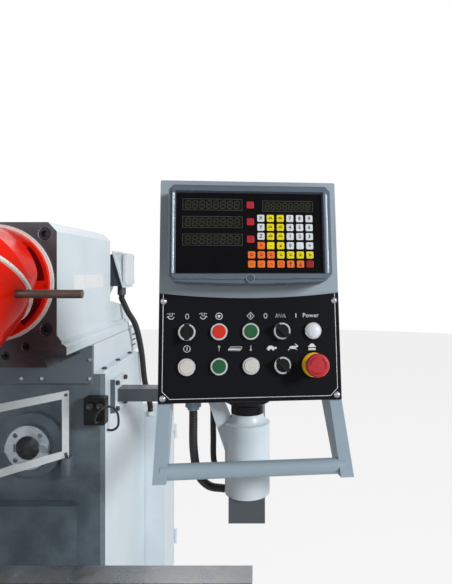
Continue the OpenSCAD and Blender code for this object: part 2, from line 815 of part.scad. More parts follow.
// Body of revolution about the second swivel: two balls and the cone between them.
module head_form() {
  gap = 164 / sqrt(2);
  slope = asin((dome_r - nose_r) / gap);
  intersection() {
    union() {
      sphere(dome_r, $fn = 96);
      translate([0, 0, dome_r * sin(slope)])
        cylinder(h = gap - (dome_r - nose_r) * sin(slope), r1 = dome_r * cos(slope),
                 r2 = nose_r * cos(slope), $fn = 96);
      translate([0, 0, gap]) sphere(nose_r, $fn = 96);
    }
    cylinder(h = 600, r = 400);
  }
}

module turning_bar() color("rosybrown") {
  rod_x(bar_reach - 200 + seat_gap, bar_reach, bar_y, bar_z, bar_d);
  // Cross pin.
  rod_y(bar_reach - 142, bar_y - bar_d / 2 - 1, bar_y, bar_z + 2, 5);
}

module vertical_spindle() color("silver") difference() {
  union() {
    rod_z(0, spindle_y, nose_z, spindle_top_z, spindle_shaft_d);
    rod_z(0, spindle_y, nose_z, nose_z + 20, 88.9);
    for (s = [-1, 1])
      block([s * 33 - 8, spindle_y - 8, nose_z - 8], [s * 33 + 8, spindle_y + 8, nose_z + 5]);
  }
  translate([0, spindle_y, nose_z - 10])
    cylinder(h = 95, d1 = 47.4, d2 = 19.7);
  for (a = [45 : 90 : 315])
    translate([0, spindle_y, nose_z]) rotate([0, 0, a]) translate([v_nose_pcd / 2, 0, -1])
      cylinder(h = 17, d = nose_hole_d);
}

// ---- knee, saddle and table ----

module knee() color("lightsteelblue") difference() {
  union() {
    yz_prism(-knee_half, knee_half, [
      [knee_y0, knee_z0 + 90], [knee_y0 + 120, knee_z0], [knee_y1, knee_z0],
      [knee_y1, knee_top - knee_tail_h], [knee_y0, knee_top - knee_tail_h]
    ]);
    // Dovetail on top.
    xz_prism(knee_y0, knee_y1, whole([
      [knee_tail_root, knee_top - knee_tail_h - join], [knee_tail_root, knee_top - knee_tail_h],
      [knee_tail_half, knee_top]
    ]));
    // Cheeks that clasp the column ways.
    block([-knee_half - 35, knee_y1, knee_z0],
          [knee_half + 35, column_y - slide_gap, knee_top - knee_tail_h]);
    block([-knee_half - 35, knee_y1 - 60, knee_z0], [knee_half + 35, knee_y1 + join, knee_top - knee_tail_h]);
  }
  // Dovetail groove for the column ways.
  translate([0, column_y, knee_z0 - 1]) linear_extrude(knee_h + 2) polygon([
    [way_root + slide_gap, 5], [way_root + slide_gap, 0],
    [way_half + slide_gap, -way_d - slide_gap], [-way_half - slide_gap, -way_d - slide_gap],
    [-way_root - slide_gap, 0], [-way_root - slide_gap, 5]
  ]);
  // Hollow underside.
  block([-knee_half + knee_wall, knee_y0 + knee_front_wall, knee_z0 - 1],
        [knee_half - knee_wall, knee_y1 - 60, knee_roof_z]);
  // Trough of the saddle screw.
  block([-trough_half, knee_y0 + 40, trough_z], [trough_half, knee_y1 - 40, knee_top + 1]);
  rod_y(0, knee_y0 - 1, knee_y0 + 41, saddle_screw_z, saddle_screw_d + 2 * run_gap);
  rod_y(0, knee_y1 - 41, knee_y1 - 10, saddle_screw_z, saddle_screw_d + 2 * run_gap);
  rod_y(crank_x, knee_y0 - 1, knee_y0 + 80, crank_z, 25 + 2 * run_gap);
  rod_z(0, lift_y, knee_roof_z - 1, knee_roof_z + 30, 30 + 2 * run_gap);
}

module saddle() color("lightsteelblue") difference() {
  union() {
    block([-saddle_w / 2, table_cy - saddle_l / 2, saddle_z0],
          [saddle_w / 2, table_cy + saddle_l / 2, saddle_top]);
    // Nut lug for the saddle screw.
    block([-trough_half + 2, table_cy - 40, trough_z + 4], [trough_half - 2, table_cy + 40, knee_top + 10]);
  }
  // Groove over the knee dovetail, round the nut lug.
  difference() {
    xz_prism(table_cy - saddle_l, table_cy + saddle_l, whole([
      [knee_tail_root + slide_gap, saddle_z0 - 1], [knee_tail_root + slide_gap, saddle_z0],
      [knee_tail_half + slide_gap, knee_top + slide_gap]
    ]));
    block([-trough_half + 2, table_cy - 40, trough_z], [trough_half - 2, table_cy + 40, knee_top + 10]);
  }
  rod_y(0, table_cy - 50, table_cy + 50, saddle_screw_z, saddle_screw_d + 2 * run_gap);
  // Table dovetail groove and the bore of the table nut.
  yz_prism(-saddle_w, saddle_w, [
    [table_cy + table_tail_root + slide_gap, saddle_top + 1],
    [table_cy + table_tail_root + slide_gap, saddle_top],
    [table_cy + table_tail_half + 2 * slide_gap, saddle_top - table_tail_h - slide_gap],
    [table_cy - table_tail_half - 2 * slide_gap, saddle_top - table_tail_h - slide_gap],
    [table_cy - table_tail_root - slide_gap, saddle_top],
    [table_cy - table_tail_root - slide_gap, saddle_top + 1]
  ]);
  rod_x(-saddle_w, saddle_w, table_cy, table_screw_z, table_screw_d + 2 * run_gap);
  // Bevelled ends.
  for (s = [-1, 1])
    translate([s * saddle_w / 2, table_cy - saddle_l, saddle_z0]) rotate([0, 45, 0])
      translate([-30, 0, -30]) cube([60, 2 * saddle_l, 60]);
}

module table() color("silver") difference() {
  union() {
    block([-table_l / 2, table_cy - table_w / 2, table_z0], [table_l / 2, table_cy + table_w / 2, table_top]);
    yz_prism(-table_l / 2, table_l / 2, [
      [table_cy + table_tail_root, table_z0 + join], [table_cy + table_tail_root, table_z0],
      [table_cy + table_tail_half, table_z0 - table_tail_h],
      [table_cy - table_tail_half, table_z0 - table_tail_h],
      [table_cy - table_tail_root, table_z0], [table_cy - table_tail_root, table_z0 + join]
    ]);
  }
  for (k = [-1 : 1]) {
    y = table_cy + k * t_slot_pitch;
    block([-table_l, y - t_slot_w / 2, table_top - slot_neck_h], [table_l, y + t_slot_w / 2, table_top + 1]);
    block([-table_l, y - slot_foot_w / 2, table_top - slot_neck_h - slot_foot_h],
          [table_l, y + slot_foot_w / 2, table_top - slot_neck_h]);
  }
}

module table_end_brackets() color("lightsteelblue")
  for (s = [-1, 1])
    difference() {
      x0 = s > 0 ? table_l / 2 : -table_l / 2 - bracket_t;
      yz_prism(x0, x0 + bracket_t, [
        [table_cy - 130, table_top - slot_neck_h - 16], [table_cy - 130, table_z0 - 8],
        [table_cy - 50, table_screw_z - 38], [table_cy + 50, table_screw_z - 38],
        [table_cy + 130, table_z0 - 8], [table_cy + 130, table_top - slot_neck_h - 16]
      ]);
      rod_x(x0 - 1, x0 + bracket_t + 1, table_cy, table_screw_z, table_screw_d + 2 * run_gap);
    }

module table_screw() color("silver")
  rod_x(-table_l / 2 - bracket_t, table_l / 2 + bracket_t + hub_l, table_cy, table_screw_z, table_screw_d);

// Handwheel along +Z: hub at the origin, rim, three spokes and a fixed grip.
module handwheel(d, bore) difference() {
  union() {
    cylinder(h = hub_l, d = bore + 28);
    translate([0, 0, 16]) rotate_extrude($fn = 64) translate([d / 2 - 9, 0]) circle(9, $fn = 24);
    for (a = [0 : 120 : 240])
      rotate([0, 0, a]) translate([0, -8, 10]) cube([d / 2 - 8, 16, 12]);
    translate([d / 2 - 10, 0, 16]) cylinder(h = 30, d = 14);
    translate([d / 2 - 10, 0, 40]) cylinder(h = 60, d1 = 20, d2 = 26);
  }
  translate([0, 0, -1]) cylinder(h = hub_l + 2, d = bore + 2 * run_gap);
}

module table_handwheel() color("silver")
  translate([table_l / 2 + bracket_t + slide_gap, table_cy, table_screw_z]) rotate([0, 90, 0])
    handwheel(wheel_d, table_screw_d);

module saddle_screw() color("silver")
  rod_y(0, knee_y0 - hub_l, knee_y1 - 12, saddle_screw_z, saddle_screw_d);

module saddle_handwheel() color("silver")
  translate([0, knee_y0 - slide_gap, saddle_screw_z]) rotate([90, 0, 0])
    handwheel(wheel_d, saddle_screw_d);

module knee_crank() color("silver")
  translate([crank_x, knee_y0 + 78, crank_z]) rotate([90, 0, 0]) {
    cylinder(h = 118, d = 25);
    translate([0, 0, 78 + slide_gap]) {
      cylinder(h = 40, d = 46);
      translate([0, -13, 12]) cube([crank_r, 26, 16]);
      translate([crank_r, 0, 12]) cylinder(h = 16, d = 34);
      translate([crank_r, 0, 20]) cylinder(h = 34, d = 14);
      translate([crank_r, 0, 46]) cylinder(h = 75, d1 = 22, d2 = 28);
    }
  }

module lift_screw() color("silver") {
  rod_z(0, lift_y, lift_low, knee_roof_z - lift_collar_h, lift_screw_d);
  rod_z(0, lift_y, knee_roof_z - lift_collar_h - seat_gap, knee_roof_z - seat_gap, 70);
  rod_z(0, lift_y, knee_roof_z - join, knee_roof_z + 28, 30);
}

// ---- guard ----

module on_guard()
  translate(guard_at) rotate([0, 0, guard_angle]) children();

module guard_frame() color("gainsboro") on_guard() {
  x1 = guard_l - guard_edge;
  difference() {
    block([-guard_edge, -guard_t / 2, 0], [x1, guard_t / 2, guard_h]);
    block([guard_frame_w - guard_edge, -guard_t, guard_frame_w],
          [x1 - guard_frame_w, guard_t, guard_h - guard_frame_w]);
  }
  translate([0, 0, -44]) cylinder(h = 50, d = guard_pin_d);
  for (x = [3, x1 - 11], z = [11, guard_h - 11])
    translate([x, guard_t / 2 - join, z]) rotate([-90, 0, 0]) cylinder(h = 4 + join, d = 9, $fn = 24);
}

module guard_pane() color("lightblue") on_guard()
  block([guard_frame_w - guard_edge + seat_gap, -1.5, guard_frame_w + seat_gap],
        [guard_l - guard_edge - guard_frame_w - seat_gap, 1.5, guard_h - guard_frame_w - seat_gap]);

// ---- pendant ----

module on_pendant()
  translate(pendant_at) rotate([0, 0, yaw]) rotate([-tilt, 0, 0]) children();

// Places a control with its axis out of the panel.
module at_control(u, v)
  on_pendant() translate([u, 0, v]) rotate([90, 0, 0]) children();

// Columns and rows of the controls.
controls = [
  for (k = [-2 : 2]) [k * control_pitch, row_1],
  for (k = [-2 : 2]) [k * control_pitch, row_2]
];

module pendant_box() color("slategray") {
  on_pendant() difference() {
    rotate([-90, 0, 0]) round_plate(box_w, box_h, box_d, 3);
    block([-box_half + sheet, sheet, box_low + sheet],
          [box_half - sheet, box_d - sheet, -box_low - sheet]);
    for (c = controls)
      translate([c[0], -1, c[1]]) rotate([-90, 0, 0]) cylinder(h = sheet + 2, d = hole_d);
  }
  // Gland of the control conduit.
  difference() {
    union() {
      rod_z(control_route[0][0], control_route[0][1], control_route[0][2] + seat_gap, 1545, 20);
      rod_z(control_route[0][0], control_route[0][1], 1533, 1560, 27);
      rod_z(signal_route[0][0], signal_route[0][1], signal_route[0][2] + seat_gap, 1566, 16);
    }
    on_pendant() block([-200, -100, box_low], [200, 200, 200]);
  }
}

// Top edge of the control plate: a shallow bow between its corners.
function plate_bow(u) = plate_top - plate_dip * (1 - pow(u / box_half, 2));

module control_plate() color([0.1, 0.11, 0.12]) on_pendant() difference() {
  w = box_half - 0.5;
  rotate([90, 0, 0]) linear_extrude(plate_t) polygon(concat(
    [[-w, box_low + 0.5], [w, box_low + 0.5]],
    [for (u = [w : -w / 12 : -w - 0.01]) [u, plate_bow(u)]]
  ));
  for (c = controls)
    translate([c[0], -plate_t - 1, c[1]]) rotate([-90, 0, 0]) cylinder(h = plate_t + 2, d = hole_d);
}

module plate_screws() color("silver")
  for (u = [-1, 1], v = [-21, box_low + 8])
    on_pendant() translate([u * (box_half - 8), -plate_t, v]) rotate([90, 0, 0])
      difference() {
        intersection() {
          translate([0, 0, -3.6]) sphere(6.6, $fn = 32);
          cylinder(h = 4, d = 11, $fn = 32);
        }
        translate([0, 0, 1.4]) cylinder(h = 3, d = 3.5, $fn = 6);
      }

// Outline of the readout housing with a bulging bottom edge.
dro_outline = concat(
  [for (u = [-dro_half + dro_corner : (dro_w - 2 * dro_corner) / 12 : dro_half - dro_corner + 0.01])
    [u, dro_low + dro_bulge * pow(u / dro_half, 2)]],
  [[dro_half, dro_low + dro_bulge + dro_corner], [dro_half, dro_top - 8], [dro_half - 8, dro_top],
   [-dro_half + 8, dro_top], [-dro_half, dro_top - 8], [-dro_half, dro_low + dro_bulge + dro_corner]]
);

module dro_housing() color([0.33, 0.38, 0.43]) on_pendant() difference() {
  face = -dro_d + film_depth;
  x0 = film_x0 - seat_gap;
  x1 = film_x1 + seat_gap;
  z0 = film_z0 - seat_gap;
  z1 = film_z1 + seat_gap;
  union() {
    translate([dro_x, 0, 0]) rotate([90, 0, 0]) linear_extrude(dro_d - 3) polygon(dro_outline);
    // Raised rim, a little inside the outline.
    translate([dro_x, -dro_d + 3 + join, (dro_low + dro_top + 3) / 2]) rotate([90, 0, 0])
      round_plate(dro_w - 12, dro_h - 12, 3 + join, 7);
  }
  // Window for the film, with sloping sides in front of it.
  block([x0, face - join / 2, z0], [x1, face + film_t, z1]);
  intersection() {
    translate([0, 0, z0 - film_depth]) linear_extrude(z1 - z0 + 2 * film_depth) polygon([
      [x0, face], [x1, face], [x1 + film_slope, face - film_depth - 1], [x0 - film_slope, face - film_depth - 1]
    ]);
    yz_prism(x0 - film_depth, x1 + film_depth, [
      [face, z0], [face, z1], [face - film_depth - 1, z1 + film_slope], [face - film_depth - 1, z0 - film_slope]
    ]);
  }
  // Recess in the chin.
  translate([-2.5, -dro_d - 1, 11.4]) rotate([-90, 0, 0]) cylinder(h = 3, d = 8);
}

module dro_keypad() color([0.11, 0.11, 0.13]) on_pendant() difference() {
  face = -dro_d + film_depth;
  union() {
    block([film_x0, face, film_z0], [film_x1, face + film_t, film_z1]);
    for (r = [0 : 5], c = [0 : 6])
      if (c > 0 || r > 3)
        block([key_columns[c] - key_half, face - 0.7, key_rows[r] - key_half],
              [key_columns[c] + key_half, face + join, key_rows[r] + key_half]);
    for (v = [133, 105, 76])
      block([-1.4 - key_half, face - 0.7, v - key_half], [-1.4 + key_half, face + join, v + key_half]);
  }
  for (v = display_tops)
    block([-110.5, face - 1, v - 18.5], [-14.5, face + 0.7, v]);
  block([19, face - 1, 122.8], [102, face + 0.7, 140.4]);
}

module bezels() color("silver")
  for (c = controls)
    if (c != [2 * control_pitch, row_2])
      at_control(c[0], c[1]) rotate_extrude($fn = 48) polygon([
        [stem_r + 0.2, -18], [hole_d / 2 - 0.2, -18], [hole_d / 2 - 0.2, plate_t], [bezel_r, plate_t],
        [bezel_r, plate_t + bezel_h - 1], [bezel_r - 1, plate_t + bezel_h],
        [cap_r + 0.3, plate_t + bezel_h], [cap_r + 0.3, plate_t + 1], [stem_r + 0.2, plate_t + 1]
      ]);

// Push button cap with its stem.
module push_cap() {
  z0 = plate_t + 1 + push + 0.3;
  cylinder(h = z0 + 1, r = stem_r);
  translate([0, 0, -16]) cylinder(h = 17, r = stem_r - 1);
  translate([0, 0, z0]) cylinder(h = 2.2, r = cap_r);
  translate([0, 0, z0 + 2.2]) cylinder(h = 0.8, r1 = cap_r, r2 = cap_r - 0.8);
}

// Selector knob: a round base with a grip bar, pointing along +Y of its own frame.
module selector_knob(angle) rotate([0, 0, angle]) {
  z0 = plate_t + 1.3;
  translate([0, 0, -16]) cylinder(h = 16 + z0 + 1, r = stem_r - 0.2);
  translate([0, 0, z0]) cylinder(h = 5.5, r = cap_r);
  translate([-4, -grip_l / 2, z0 + 5]) cube([8, grip_l, 11]);
}

module direction_selector() color([0.08, 0.08, 0.09]) at_control(-2 * control_pitch, row_1) selector_knob(0);
module coolant_selector() color([0.08, 0.08, 0.09]) at_control(control_pitch, row_1) selector_knob(45);
module feed_selector() color([0.08, 0.08, 0.09]) at_control(control_pitch, row_2) selector_knob(45);
module stop_button() color("red") at_control(-control_pitch, row_1) push_cap();
module start_button() color("green") at_control(0, row_1) push_cap();
module enable_button() color("white") at_control(-2 * control_pitch, row_2) push_cap();
module up_button() color("green") at_control(-control_pitch, row_2) push_cap();
module down_button() color("white") at_control(0, row_2) push_cap();

module pilot_lamp() color("whitesmoke") at_control(2 * control_pitch, row_1) {
  translate([0, 0, plate_t + 1]) cylinder(h = 6, r = cap_r);
  translate([0, 0, -16]) cylinder(h = 21, r = stem_r - 0.2);
  intersection() {
    translate([0, 0, -6]) sphere(20, $fn = 48);
    translate([0, 0, 9]) cylinder(h = 10, r = cap_r);
  }
}

module estop_collar() color("gold") at_control(2 * control_pitch, row_2) rotate_extrude($fn = 64) polygon([
  [stem_r + 0.2, -18], [hole_d / 2 - 0.2, -18], [hole_d / 2 - 0.2, plate_t], [estop_r, plate_t],
  [estop_r, plate_t + 5], [estop_r - 4, plate_t + 8], [stem_r + 0.2, plate_t + 8]
]);

module estop_stem() color("dimgray") at_control(2 * control_pitch, row_2) {
  translate([0, 0, -16]) cylinder(h = 38, r = stem_r);
  translate([0, 0, 21]) cylinder(h = 15, r = 6);
}

module estop_head() color("red") at_control(2 * control_pitch, row_2) difference() {
  rotate_extrude($fn = 64) polygon(concat(
    [[0, 22.2], [13, 22.2], [15, 30]],
    [for (a = [-60 : 15 : 90]) [15 + 4 * cos(a), 37 + 5 * sin(a)]],
    [[0, 43]]
  ));
  translate([0, 0, 20]) cylinder(h = 16.2, r = 6 + run_gap);
}

// Black swivel flange and its drum, cut to the box bottom.
module pendant_flange() color([0.12, 0.12, 0.13]) difference() {
  union() {
    rod_z(swivel_x, -pendant_y, collar_top, 1540, 55);
    translate([swivel_x, -pendant_y, 1539]) cylinder(h = 8, d1 = 55, d2 = 77);
    rod_z(swivel_x, -pendant_y, 1546, 1575, 77);
  }
  on_pendant() block([-200, -100, box_low], [200, 200, 200]);
}

// Flared collar with its tapered brace to the box.
module pendant_collar() color("lightsteelblue") difference() {
  union() {
    translate([swivel_x, -pendant_y, 0]) rotate_extrude($fn = 64) polygon(concat(
      [[0, collar_z0], [collar_foot_r, collar_z0], [collar_foot_r, collar_top - 22]],
      [for (a = [0 : 15 : 90])
        [collar_foot_r - 11 * sin(a), collar_top - 16 * cos(a)]],
      [[0, collar_top]]
    ));
    xz_prism(-pendant_y - 7, -pendant_y + 7, [
      [swivel_x - 74, 1570], [swivel_x - 50, 1570], [swivel_x - 8, 1470], [swivel_x - 30, 1440]
    ]);
  }
  on_pendant() block([-200, -100, box_low], [200, 200, 200]);
  rod_z(swivel_x, -pendant_y, arm_z, post_top + seat_gap, post_d + 2 * run_gap);
}

module pendant_legs() color("lightsteelblue") on_pendant() {
  for (s = [0, 1])
    mirror([s, 0, 0]) yz_prism(box_half - 20, box_half, [
      [0, box_low], [box_d - 3, box_low], [-20, box_low - 108], [-62, box_low - 108]
    ]);
  translate([-box_half + 10, -42, box_low - 95]) rotate([0, 90, 0]) cylinder(h = box_w - 20, d = 24);
}

// ---- cords ----

module motor_conduit() color([0.13, 0.13, 0.14]) cord(motor_route, 22, 10, 2, [1, 0, 0]);
module control_conduit() color([0.13, 0.13, 0.14]) cord(control_route, 15, 10, 2, [0, 1, 0]);
module signal_conduit() color([0.13, 0.13, 0.14]) cord(signal_route, 11, 8, 2, [0, 1, 0]);
module switch_cable() color([0.13, 0.13, 0.14]) cord(switch_route, 7, 8, 2, [0.3, 0, 1]);

base();
column();
ram_guide();
guide_front_plate();
rear_cover();
frame_bolts();
electrical_cabinet();
cabinet_door();
arm_bracket();
pendant_arm();
switch_box();
horizontal_spindle();
ram();
ram_screws();
ram_scale_ring();
ram_motor();
terminal_box();
first_swivel();
second_scale_ring();
swivel_nuts();
head_body();
turning_bar();
vertical_spindle();
knee();
saddle();
table();
table_end_brackets();
table_screw();
table_handwheel();
saddle_screw();
saddle_handwheel();
knee_crank();
lift_screw();
guard_frame();
guard_pane();
pendant_box();
control_plate();
dro_housing();
dro_keypad();
bezels();
pendant_flange();
pendant_collar();
pendant_legs();
plate_screws();
estop_collar();
estop_stem();
estop_head();
pilot_lamp();
direction_selector();
coolant_selector();
feed_selector();
stop_button();
start_button();
enable_button();
up_button();
down_button();
motor_conduit();
control_conduit();
signal_conduit();
switch_cable();
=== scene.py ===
# %% [markdown]
# # Dressing a universal milling machine
# The machine was drawn as sixty parts in a CAD program, and this notebook gives them their looks:
# glossy red head, bare oiled iron, blue-grey machine paint, a black control panel with its lamp
# and keys, corrugated conduits. The solids stay as they are. A finish goes on each of them, and
# the small things that a machinist reads and touches are modelled on top.

# %% The frame
import math
import bmesh
import bpy
from mathutils import Matrix, Vector


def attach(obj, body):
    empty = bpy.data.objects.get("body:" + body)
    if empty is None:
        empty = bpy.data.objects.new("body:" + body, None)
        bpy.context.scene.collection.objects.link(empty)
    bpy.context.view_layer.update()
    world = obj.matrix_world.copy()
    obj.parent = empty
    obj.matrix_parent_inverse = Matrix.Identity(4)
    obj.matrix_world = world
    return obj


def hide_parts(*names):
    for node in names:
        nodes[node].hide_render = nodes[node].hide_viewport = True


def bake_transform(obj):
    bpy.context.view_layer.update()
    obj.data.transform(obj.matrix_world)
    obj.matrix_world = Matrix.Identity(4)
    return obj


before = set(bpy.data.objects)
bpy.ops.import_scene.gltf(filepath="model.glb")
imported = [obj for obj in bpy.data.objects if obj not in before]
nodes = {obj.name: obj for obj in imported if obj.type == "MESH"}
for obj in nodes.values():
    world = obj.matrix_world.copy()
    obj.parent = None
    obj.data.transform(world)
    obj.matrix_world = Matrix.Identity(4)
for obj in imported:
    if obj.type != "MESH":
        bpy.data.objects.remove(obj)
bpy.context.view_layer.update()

MM = 0.001

# %% [markdown]
# The camera looks level along the machine, from where an operator reads the pendant. A level
# camera keeps the column's edges upright, and the lens shift then frames the subject, as a
# view camera does. Turning the camera down would make the uprights lean.

# %% Camera
camera_data = bpy.data.cameras.new("camera")
camera_data.sensor_fit = "AUTO"
camera_data.sensor_width = 36
camera_data.lens = 32.05
camera_data.shift_x = -0.0668
camera_data.shift_y = -0.0377
camera = bpy.data.objects.new("camera", camera_data)
camera.location = (0.690, -1.704, 1.767)
camera.rotation_euler = (math.radians(90), 0, 0)
bpy.context.scene.collection.objects.link(camera)
bpy.context.scene.camera = camera
bpy.context.scene.view_settings.view_transform = "Standard"
print("camera at", tuple(camera.location))

# %% [markdown]
# A few small helpers put things into the scene. Every piece sits at the origin, and its place
# is in its vertices: a pattern on object coordinates then stays put when a body moves. Curves
# and texts become meshes first, because only a mesh can carry its place in that way.

# %% Putting things into the scene
def new_object(name, data):
    thing = bpy.data.objects.new(name, data)
    bpy.context.scene.collection.objects.link(thing)
    return thing


def as_mesh(data, name):
    """The mesh of a curve or text at the origin."""
    maker = new_object(name, data)
    bpy.context.view_layer.update()
    graph = bpy.context.evaluated_depsgraph_get()
    mesh = bpy.data.meshes.new_from_object(maker.evaluated_get(graph))
    bpy.data.objects.remove(maker)
    return mesh


def round_wire(name, points, diameter, roundness, radii=(1.0,), closed=False):
    """A mesh tube along points. radii gives each point's share of the radius, over and over."""
    data = bpy.data.curves.new(name, "CURVE")
    data.dimensions = "3D"
    data.bevel_depth = diameter / 2
    data.bevel_resolution = roundness
    data.use_fill_caps = True
    spline = data.splines.new("POLY")
    spline.points.add(len(points) - 1)
    for i, q in enumerate(points):
        spline.points[i].co = (*q, 1)
        spline.points[i].radius = radii[i % len(radii)]
    spline.use_cyclic_u = closed
    return as_mesh(data, name)


def at(x, y, z):
    """A move by millimetres."""
    return Matrix.Translation(Vector((x, y, z)) * MM)


def turn(degrees, axis):
    return Matrix.Rotation(math.radians(degrees), 4, axis)


print("lengths in millimetres are multiplied by", MM)

# %% [markdown]
# Four cords leave the machine's housings: the motor's corrugated conduit down to the rear
# cabinet, two conduits from the pendant into the hollow arm, and the thin cable of the guard's
# switch. Each follows one smooth curve through the points that the CAD solid follows. A curve
# with a round profile sweeps them, and the ribs of a conduit come from making the curve a
# little thinner at every other pair of points.

# %% Cord routes
motor_route = [(164, 205, 1675.6), (164, 205, 1669), (164, 205, 1662), (171, 206, 1646),
               (185, 212, 1612), (210, 226, 1560), (222, 262, 1464), (224, 308, 1342),
               (226, 376, 1250), (226, 400, 1214), (226, 400, 1205), (226, 400, 1196.4)]
control_route = [(567, -812, 1527.6), (567, -812, 1518), (567, -812, 1508), (567, -808, 1460),
                 (572, -790, 1410), (588, -765, 1378), (612, -760, 1371), (621, -760, 1371),
                 (629.6, -760, 1371)]
signal_route = [(597, -772, 1540.7), (597, -772, 1530), (597, -772, 1520), (597, -768, 1470),
                (596, -745, 1415), (604, -705, 1380), (616, -695, 1371), (623, -695, 1371),
                (629.6, -695, 1371)]
switch_route = [(204, -197.3, 1328), (204, -212, 1329), (206, -227, 1342), (213, -232, 1360),
                (229, -224, 1374), (246, -198, 1370), (253, -162, 1340), (246, -132, 1298),
                (228, -120, 1280), (209.5, -120, 1280)]
points_per_span = 40


def smooth_route(route):
    """Points close together on the smooth curve through a route."""
    p = [Vector(q) * MM for q in route]
    p = [2 * p[0] - p[1]] + p + [2 * p[-1] - p[-2]]
    points = []
    for i in range(1, len(p) - 2):
        a, b, c, d = p[i - 1:i + 3]
        for k in range(points_per_span):
            t = k / points_per_span
            points.append(0.5 * (2 * b + (c - a) * t + (2 * a - 5 * b + 4 * c - d) * t * t
                                 + (3 * b - a - 3 * c + d) * t ** 3))
    return points + [p[-2]]


def even_points(points, step):
    """The same line with its points at even distances."""
    out, left = [points[0]], step
    for a, b in zip(points, points[1:]):
        span = (b - a).length
        along = 0.0
        while span - along >= left:
            along += left
            out.append(a.lerp(b, along / span))
            left = step
        left -= span - along
    if (out[-1] - points[-1]).length > step * 0.4:
        out.append(points[-1])
    else:
        out[-1] = points[-1]
    return out


def route_length(points):
    return sum((b - a).length for a, b in zip(points, points[1:]))


# %% Sweeping the cords
cords = {}
ribbed = (1.0, 1.0, 0.9, 0.9)
plain = (1.0,)
for name, route, diameter, step, radii in (
    ("motor_conduit", motor_route, 0.022, 0.0013, ribbed),
    ("control_conduit", control_route, 0.015, 0.0011, ribbed),
    ("signal_conduit", signal_route, 0.011, 0.0009, ribbed),
    ("switch_cable", switch_route, 0.007, 0.003, plain),
):
    points = even_points(smooth_route(route), step)
    mesh = round_wire(name + "_cord", points, diameter, 4, radii)
    mesh.name = name + "_cord"
    for face in mesh.polygons:
        face.use_smooth = True
    cords[name] = (new_object(name + "_cord", mesh), points, diameter)
    print(name, "length", round(route_length(points), 4), "m")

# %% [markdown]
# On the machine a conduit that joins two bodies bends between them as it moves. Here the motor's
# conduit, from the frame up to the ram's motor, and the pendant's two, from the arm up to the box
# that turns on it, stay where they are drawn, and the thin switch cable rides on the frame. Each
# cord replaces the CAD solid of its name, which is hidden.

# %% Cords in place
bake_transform(cords["motor_conduit"][0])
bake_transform(cords["control_conduit"][0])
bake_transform(cords["signal_conduit"][0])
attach(cords["switch_cable"][0], "frame")
for name, (piece, points, diameter) in cords.items():
    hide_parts(name)
print("cords declared:", len(cords))

# %% [markdown]
# The finishes share a few effects: uneven paint, worn edges, the grain of ground steel and
# the fine stipple of moulded plastic. Each effect is a node group, built once. A group puts out
# masks and heights, and every material turns them into its own colour, roughness and relief.
# Editing the group later changes all the finishes that use it.

# %% Colours
def linear(code):
    """A colour written as on a paint card, in the renderer's linear light."""
    parts = [int(code[i:i + 2], 16) / 255 for i in (1, 3, 5)]
    return (*(c / 12.92 if c <= 0.04045 else ((c + 0.055) / 1.055) ** 2.4 for c in parts), 1.0)


def shade(colour, by):
    return tuple(min(1.0, c * by) for c in colour[:3]) + (1.0,)


print("a mid grey on the card is", round(linear("#808080")[0], 3), "in linear light")

# %% Node helpers
def new_group(name, inputs, outputs):
    group = bpy.data.node_groups.new(name, "ShaderNodeTree")
    kind = "NodeSocketFloat"
    for label, value in inputs:
        socket = group.interface.new_socket(name=label, in_out="INPUT", socket_type=kind)
        socket.default_value = value
    for label in outputs:
        group.interface.new_socket(name=label, in_out="OUTPUT", socket_type=kind)
    enter = group.nodes.new("NodeGroupInput")
    leave = group.nodes.new("NodeGroupOutput")
    return group, enter, leave


def add(tree, kind, **values):
    """A node, with its named settings and the values of its sockets."""
    node = tree.nodes.new(kind)
    for key, value in values.items():
        if key.startswith("in_"):
            node.inputs[int(key[3:])].default_value = value
        else:
            setattr(node, key, value)
    return node


def join(tree, source, target):
    tree.links.new(source, target)


def feed(tree, value, target):
    """Sets a socket to a number or a colour, or links it to another socket."""
    if isinstance(value, (int, float, tuple)):
        target.default_value = value
    else:
        join(tree, value, target)


def calc(tree, operation, *operands):
    """A Math node. Its operands are sockets or numbers."""
    node = add(tree, "ShaderNodeMath", operation=operation)
    for value, target in zip(operands, node.inputs):
        feed(tree, value, target)
    return node.outputs[0]


def ramp(tree, value, low, high, to_low=0.0, to_high=1.0):
    """Brings a value from one range to another, held at its ends."""
    node = add(tree, "ShaderNodeMapRange")
    node.interpolation_type = "SMOOTHSTEP"
    join(tree, value, node.inputs["Value"])
    ends = {"From Min": low, "From Max": high, "To Min": to_low, "To Max": to_high}
    for label, number in ends.items():
        feed(tree, number, node.inputs[label])
    return node.outputs["Result"]


def object_place(tree):
    """Where a point of the surface is, in its object's own coordinates."""
    return add(tree, "ShaderNodeTexCoord").outputs["Object"]


def true_normal(tree):
    return add(tree, "ShaderNodeNewGeometry").outputs["Normal"]


print("node helpers are ready")

# %% [markdown]
# Uneven paint: broad cloudy patches change the tone a little, and a fine lumpiness, as of the
# skin of an orange, gives sprayed paint its broken highlights. Noise in object coordinates
# does both. A painted image would need unwrapped solids and would blur close up. Dust lies in
# small specks, and only where the surface faces up.

